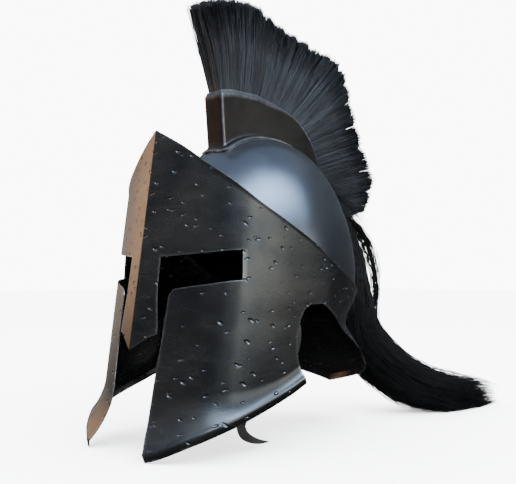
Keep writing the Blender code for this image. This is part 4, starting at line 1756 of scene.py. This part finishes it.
@dataclass
class TailHair:
    """The long hair that hangs behind and lies on the table, with loose hairs at its root."""

    form: HelmetForm = FORM
    # The bunch, and how its hairs gather in locks, turn and wave. The ends of hairs are given as
    # the least share of the length and the most that is added to it, those of locks as a range.
    locks: int = 40
    lock_seed: int = 77
    bunch: Strands = Strands(3000, 0.00055, 11, seed=21, taper=0.55, thinnest=0.75, varied=0.5)
    hollow: float = 0.35
    lock_reach: float = 0.95
    lock_end: tuple[float, float] = (0.90, 1.03)
    hair_end: tuple[float, float] = (0.97, 0.03)
    broken_hairs: float = 0.30
    broken_end: tuple[float, float] = (0.45, 0.5)
    gather: float = 0.55
    gather_part: tuple[float, float] = (0.35, 1.0)
    gather_jitter: float = 0.05
    swirl: tuple[float, float] = (0.7, 0.2)
    swirl_waves: float = 5.0
    wave: float = 0.05
    wave_part: tuple[float, float] = (0.2, 0.5)
    waves: tuple[float, float] = (24.0, 19.0)
    wave_phases: tuple[float, float] = (3.0, 5.0)
    jitter: float = 0.0008
    # A dark tone, how much it changes by lock, and how much by hair.
    tone: tuple[float, float, float] = (0.2, 0.5, 0.22)
    # Loose hairs that leave the crest box's rear end, and those that hang in thin locks.
    spray: Strands = Strands(1150, 0.00040, 11, seed=22, taper=0.6, thinnest=0.7, varied=0.6)
    spray_root: Point = (0.0, 0.090, -0.036)
    spray_angles: tuple[float, float] = (-10.0, -60.0)
    spray_root_jitter: float = 0.0045
    spray_aside: float = 0.10
    spray_length: tuple[float, float] = (0.070, 0.104)
    spray_length_power: float = 0.6
    spray_sag: tuple[float, float] = (0.010, 0.030)
    hanging_hairs: float = 0.40
    hanging_part: tuple[float, float] = (0.12, 0.40)
    hanging_depth: float = 0.8
    hanging_wave: float = 0.0022
    hanging_waves: tuple[float, float] = (9.0, 2.3)
    hanging_sway: Point = (0.5, 1.0, 0.3)
    hanging_jitter: float = 0.0013
    loose_y: Curve = evenly(0.128, 0.160, 0.198, 0.221, 0.232, 0.230, 0.232)
    loose_z: Curve = evenly(-0.078, -0.078, -0.096, -0.128, -0.168, -0.205, -0.234)
    loose_gap: tuple[float, ...] = (0.06, 0.13, 0.20, 0.28, 0.38, 0.48, 0.90, 0.94)
    loose_gap_jitter: float = 0.05
    loose_tone: float = 0.6
    # The middle line: how it is read for its direction, and how it runs on past its end.
    slope_step: float = 0.006
    run_on: float = 0.5
    # The dark body under the hairs.
    core_share: float = 0.66
    core_ends: tuple[float, float] = (0.03, 0.93)
    core_rings: int = 80
    core_around: int = 28
    core_taper: float = 0.5
    core_taper_part: tuple[float, float] = (0.6, 1.0)
    # How hairs rest on the table.
    table_lift: float = 0.0008
    table_softness: float = 1 / 900
    # The bunch's middle line and its half sizes, from root to end.
    x: Curve = evenly(
        0.000, 0.000, 0.000, 0.000, 0.001, 0.004, 0.013, 0.034, 0.060, 0.077, 0.083, 0.087
    )
    y: Curve = evenly(
        0.091, 0.115, 0.140, 0.160, 0.168, 0.174, 0.184, 0.200, 0.227, 0.278, 0.328, 0.374
    )
    z: Curve = evenly(
        -0.033, -0.052, -0.090, -0.132, -0.175, -0.215, -0.246, -0.273, -0.301, -0.318, -0.322,
        -0.324,
    )
    half_wide: Curve = evenly(
        0.008, 0.013, 0.018, 0.023, 0.027, 0.030, 0.033, 0.037, 0.038, 0.0365, 0.030, 0.015
    )
    half_deep: Curve = evenly(
        0.006, 0.011, 0.020, 0.026, 0.028, 0.0305, 0.034, 0.035, 0.0365, 0.0385, 0.035, 0.019
    )

    def middle(self, share: Array) -> Array:
        """Points of the bunch's middle line at shares of its length."""
        return np.stack([self.x.read(share), self.y.read(share), self.z.read(share)], axis=-1)

    def line(self, share: Array) -> tuple[Array, Array, Array, Array, Array]:
        """The bunch's middle line with its frame, running straight on past its end.

        Args:
            share: 0 at the root to 1 at the end, in any shape.

        Returns:
            Middle, the way across, the way up, half width and half depth.
        """
        step, least = self.slope_step, 0.01
        before, after = np.clip(share - step, 0, 1 - least), np.clip(share + step, least, 1)
        ahead = unit(self.middle(after) - self.middle(before))
        past = np.clip(share - 1, 0, None) * self.run_on
        middle = self.middle(share) + ahead * past[..., None]
        aside = unit(np.cross(ahead, (0, 0, 1)))
        above = np.cross(aside, ahead)
        return middle, aside, above, self.half_wide.read(share), self.half_deep.read(share)

    def on_table(self, points: Array) -> Array:
        """Keeps points above the table by a softened maximum: log(1 + e^t).

        Args:
            points: Places, whose heights are changed.

        Returns:
            The same points.
        """
        floor, soft = self.form.table_z + self.table_lift, self.table_softness
        points[..., 2] = floor + np.logaddexp(0, (points[..., 2] - floor) / soft) * soft
        return points

    def hairs(self) -> tuple[Array, Array, Array]:
        """Works out the bunch.

        A hair keeps its own place in the bunch's oval section. It is drawn towards its lock's
        place as it goes on, turns slowly about the middle line, waves a little by a sine, and
        ends with its lock unless it is broken.

        Returns:
            Paths, radii and tones.
        """
        strands = self.bunch
        random = np.random.default_rng(strands.seed)
        count = strands.count
        pattern = np.random.default_rng(self.lock_seed)
        lock_turn = pattern.random(self.locks) * 2 * np.pi
        lock_depth = np.sqrt(pattern.random(self.locks)) * self.lock_reach
        lock_end = self.lock_end[0] + np.ptp(self.lock_end) * pattern.random(self.locks)
        lock_shade = pattern.random(self.locks)
        pick = random.integers(0, self.locks, count)
        phase = lock_turn[pick][:, None]
        turn = random.random(count) * 2 * np.pi
        depth = np.sqrt(self.hollow + (1 - self.hollow) * random.random(count))
        own = np.stack([depth * np.cos(turn), depth * np.sin(turn)], axis=-1)
        target = lock_depth[pick, None] * np.concatenate([np.cos(phase), np.sin(phase)], axis=1)
        end = lock_end[pick] * (self.hair_end[0] + self.hair_end[1] * random.random(count))
        broken = random.random(count) < self.broken_hairs
        left = self.broken_end[0] + self.broken_end[1] * random.random(count)
        end = np.where(broken, end * left, end)
        at = np.linspace(0, 1, strands.rings)
        share = at * end[:, None]
        middle, aside, above, wide, deep = self.line(share)
        gather = (self.gather * smooth_step(share, *self.gather_part))[..., None]
        place = own[:, None] * (1 - gather) + target[:, None] * gather
        place += random.normal(0, self.gather_jitter, (count, 1, 2)) * gather
        swirl = self.swirl[0] * share
        swirl += self.swirl[1] * np.sin(self.swirl_waves * share + phase)
        cos, sin = np.cos(swirl), np.sin(swirl)
        across = place[..., 0] * cos - place[..., 1] * sin
        up = place[..., 0] * sin + place[..., 1] * cos
        wave = smooth_step(share, *self.wave_part) * self.wave
        first, second = (
            np.sin(share * waves + phase * phases)
            for waves, phases in zip(self.waves, self.wave_phases)
        )
        across, up = (across + wave * first) * wide, (up + wave * second) * deep
        paths = middle + aside * across[..., None] + above * up[..., None]
        paths += random.normal(0, self.jitter, paths.shape) * at[:, None]
        radii = strands.radii(at, random)
        dark, by_lock, by_hair = self.tone
        tone = dark + by_lock * lock_shade[pick] + random.normal(0, by_hair, count)
        return self.on_table(paths), radii, np.clip(tone, 0, 1)

    def loose_hairs(self) -> tuple[Array, Array, Array]:
        """Works out the hairs that fill the corner between the crest and the tail.

        Three in five leave the crest box's rear end at angles between the crest's last hairs and
        the tail, each sagging by the square of its length. The others hang in thin wavy locks
        between the tail and a line behind it, which they join and leave together.

        Returns:
            Paths, radii and tones.
        """
        strands = self.spray
        random = np.random.default_rng(strands.seed)
        count = strands.count
        at = np.linspace(0, 1, strands.rings)
        first, last = self.spray_angles
        angle = np.radians(first + (last - first) * random.random(count))
        long = random.random(count) ** self.spray_length_power
        length = self.spray_length[0] + np.ptp(self.spray_length) * long
        root = np.array(self.spray_root) + random.normal(0, self.spray_root_jitter, (count, 3))
        aside = random.normal(0, self.spray_aside, count)
        way = np.stack([aside, np.cos(angle), np.sin(angle)], axis=-1)
        paths = root[:, None] + way[:, None] * (length[:, None] * at)[..., None]
        sag = self.spray_sag[0] + np.ptp(self.spray_sag) * random.random(count)
        paths[..., 2] -= sag[:, None] * at**2
        line = np.stack([0 * at, self.loose_y.read(at), self.loose_z.read(at)], axis=-1)
        start, span = self.hanging_part
        middle, _, above, _, deep = self.line(start + span * at)
        near = middle - above * (deep * self.hanging_depth)[:, None]
        pick = random.integers(0, len(self.loose_gap), count)
        gap = np.array(self.loose_gap)[pick] + random.normal(0, self.loose_gap_jitter, count)
        hanging = near + (line - near) * gap[:, None, None]
        waves, by_lock = self.hanging_waves
        wave = np.sin(at * waves + pick[:, None] * by_lock) * self.hanging_wave
        wave = wave * np.sin(np.pi * at)
        hanging += wave[..., None] * np.array(self.hanging_sway)
        hanging += random.normal(0, self.hanging_jitter, (count, 1, 3))
        hanging += random.normal(0, self.jitter, hanging.shape)
        paths = np.where((random.random(count) < self.hanging_hairs)[:, None, None], hanging, paths)
        radii = strands.radii(at, random)
        return self.on_table(paths), radii, random.random(count) * self.loose_tone

    def core(self, coat: Coat) -> bpy.types.Object:
        """A dark body under the hairs, so that no light comes through the bunch.

        Args:
            coat: The hair's finish.

        Returns:
            The piece.
        """
        share, turn = np.linspace(*self.core_ends, self.core_rings), circle(self.core_around)
        middle, aside, above, wide, deep = self.line(share)
        thinner = self.core_taper * smooth_step(share, *self.core_taper_part)
        taper = self.core_share * (1 - thinner)
        rings = self.on_table(
            middle[:, None] + aside[:, None] * ((wide * taper)[:, None] * np.cos(turn))[..., None]
            + above[:, None] * ((deep * taper)[:, None] * np.sin(turn))[..., None]
        )
        tone = {"tone": np.zeros(rings.shape[:2])}
        return loft("tail_core", rings, coat, tone)

    def build(self, coat: Coat) -> list[bpy.types.Object]:
        """Builds the core and the hairs in place of the plain solid.

        Args:
            coat: The hair's finish.

        Returns:
            The pieces.
        """
        pieces = [
            self.core(coat),
            strand_mesh("tail_hair_long", *self.hairs(), coat),
            strand_mesh("tail_hair_loose", *self.loose_hairs(), coat),
        ]
        for piece in pieces:
            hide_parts("tail_plume")
        return pieces


# ---- the studio -------------------------------------------------------------------------------


@dataclass(frozen=True)
class Softbox:
    """A rectangular light seen from the helmet in a direction, facing it.

    Its brightness falls off smoothly towards its edges over the share of its half width that is
    named feather.
    """

    name: str
    towards: Point
    size: tuple[float, float]
    power: float
    colour: Colour = (1.0, 1.0, 1.0)
    feather: float = 0.6
    distance: float = 1.6
    height: float = 0.21

    def fade(self, data: bpy.types.Light) -> None:
        """Dims the light by a smooth step towards each edge, the two directions multiplied.

        Args:
            data: The light.
        """
        graph = Graph(data, "Light")
        place = graph.add("NewGeometry", {}).outputs["Parametric"]
        split = graph.add("SeparateXYZ", {0: place})
        falls = []
        for axis in range(2):
            off_middle = graph.math("SUBTRACT", split.outputs[axis], 0.5)
            off_middle = graph.math("ABSOLUTE", off_middle)
            falls.append(graph.spread(off_middle, 0.5, 0.5 * (1 - self.feather), 0.0, 1.0))
        graph.show(graph.add("Emission", {"Strength": graph.math("MULTIPLY", *falls)}))

    def build(self) -> bpy.types.Object:
        """Makes the light.

        Returns:
            The light's object.
        """
        data = bpy.data.lights.new(self.name, "AREA")
        data.shape = "RECTANGLE"
        data.size, data.size_y = self.size
        data.energy = self.power
        data.color = self.colour
        light = bpy.data.objects.new(self.name, data)
        direction = Vector(self.towards).normalized()
        middle = Vector((0, CROWN[1], self.height))
        light.location = middle + direction * self.distance
        light.rotation_mode = "QUATERNION"
        light.rotation_quaternion = (-direction).to_track_quat("-Z", "Y")
        light.visible_camera = False
        self.fade(data)
        bpy.context.scene.collection.objects.link(light)
        return light


@dataclass
class Studio:
    """A camera, a pale floor, and soft lights set where the steel mirrors them."""

    lens: float = 55.21
    sensor: float = 36.0
    shift_up: float = 0.0566
    camera_from_crown: Point = (0.6591, -0.6321, -0.1505)
    camera_turn: float = math.radians(46.0)
    floor_size: float = 12.0
    white_strength: float = 10.0
    room_strength: float = 1.0
    room: tuple[tuple[float, Colour], ...] = (
        (0.0, (0.03, 0.03, 0.03)), (0.47, (0.035, 0.037, 0.040)), (0.62, (0.036, 0.042, 0.052)),
        (0.75, (0.10, 0.12, 0.15)), (0.88, (0.30, 0.40, 0.54)), (1.0, (0.34, 0.48, 0.70)),
    )
    softboxes: tuple[Softbox, ...] = (
        Softbox("warm_side", (-0.930, -0.302, 0.21), (1.42, 1.16), 17.0, (1.0, 0.54, 0.28), 0.9),
        Softbox("pale_side", (-0.988, 0.139, 0.05), (1.3, 1.1), 2.4, (1.0, 0.88, 0.76), 0.8),
        Softbox("cheek_fill", (0.946, -0.307, 0.135), (2.6, 1.2), 10.0, (1.0, 1.0, 0.94), 1.0),
        Softbox("cheek_side", (0.969, 0.223, 0.135), (2.15, 1.0), 16.0, (1.0, 1.0, 0.90), 0.55),
        Softbox("sky", (0.675, -0.095, 0.731), (3.5, 1.36), 220.0, (0.62, 0.80, 1.0), 1.0),
        Softbox("front", (0.11, -0.66, 0.74), (1.9, 1.2), 5.2, (0.72, 0.86, 1.0)),
    )

    def camera(self) -> None:
        """Adds the camera, level with the helmet and off its left front."""
        data = bpy.data.cameras.new("camera")
        data.lens, data.sensor_width = self.lens, self.sensor
        data.shift_y = self.shift_up
        camera = bpy.data.objects.new("camera", data)
        camera.location = CROWN + np.array(self.camera_from_crown)
        camera.rotation_euler = (math.pi / 2, 0, self.camera_turn)
        bpy.context.scene.collection.objects.link(camera)
        bpy.context.scene.camera = camera

    def floor(self) -> None:
        """Adds a white table top that the steel doesn't mirror."""
        half = self.floor_size / 2
        mesh = bpy.data.meshes.new("table_top")
        corners = [(-half, -half, 0), (half, -half, 0), (half, half, 0), (-half, half, 0)]
        mesh.from_pydata(corners, [], [(0, 1, 2, 3)])
        mesh.materials.append(TABLE_WHITE.build().material)
        table = bpy.data.objects.new("table_top", mesh)
        table.visible_glossy = False
        bpy.context.scene.collection.objects.link(table)

    def surroundings(self) -> None:
        """White to the eye and to matt surfaces, and a dim room in the steel's reflections.

        The room runs from a dark ground through a grey horizon to a bluish ceiling.
        """
        world = bpy.data.worlds.new("studio")
        graph = Graph(world, "World")
        way = graph.add("TexCoord", {}).outputs["Generated"]
        rise = graph.add("SeparateXYZ", {0: way}).outputs["Z"]
        height = graph.add("MapRange", {"Value": rise, "From Min": -1.0}).outputs[0]
        ramp = graph.add("ValToRGB", {0: height})
        stops = ramp.color_ramp.elements
        for stop, (position, colour) in zip(stops, (self.room[0], self.room[-1])):
            stop.position, stop.color = position, (*colour, 1)
        for position, colour in self.room[1:-1]:
            stops.new(position).color = (*colour, 1)
        white = graph.add("Background", {0: (1.0, 1.0, 1.0), 1: self.white_strength})
        room = graph.add("Background", {0: ramp.outputs[0], 1: self.room_strength})
        mirrored = graph.add("LightPath", {}).outputs["Is Glossy Ray"]
        graph.show(graph.add("MixShader", {0: mirrored, 1: white.outputs[0], 2: room.outputs[0]}))
        bpy.context.scene.world = world

    def build(self) -> None:
        """Sets up the camera, the floor, the surroundings and the lights."""
        self.camera()
        self.floor()
        self.surroundings()
        for softbox in self.softboxes:
            softbox.build()


# ---- the whole --------------------------------------------------------------------------------


def report(pieces: list[bpy.types.Object]) -> None:
    """Logs each piece's name and how many faces it has."""
    for piece in pieces:
        LOG.info("%s: %d faces", piece.name, len(piece.data.polygons))


def main() -> None:
    """Dresses the helmet and lights it."""
    logging.basicConfig(level=logging.INFO, format="%(name)s: %(message)s")
    box_steel = BOX_STEEL.build()
    leather = LEATHER.build()
    hair = HAIR.build()
    strap = ChinStrap()
    report([SkullDome().build(DOME_STEEL.build())])
    report([FaceMask().build(MASK_STEEL.build())])
    report([CrestBox().build(box_steel)])
    report(CrestHair().build(hair))
    report(TailHair().build(SHADED_TAIL_HAIR.build()))
    report(strap.build_straps(leather))
    report(strap.build_rivets(box_steel))
    report([strap.build_buckle(box_steel)])
    Studio().build()


if __name__ == "__main__":
    main()
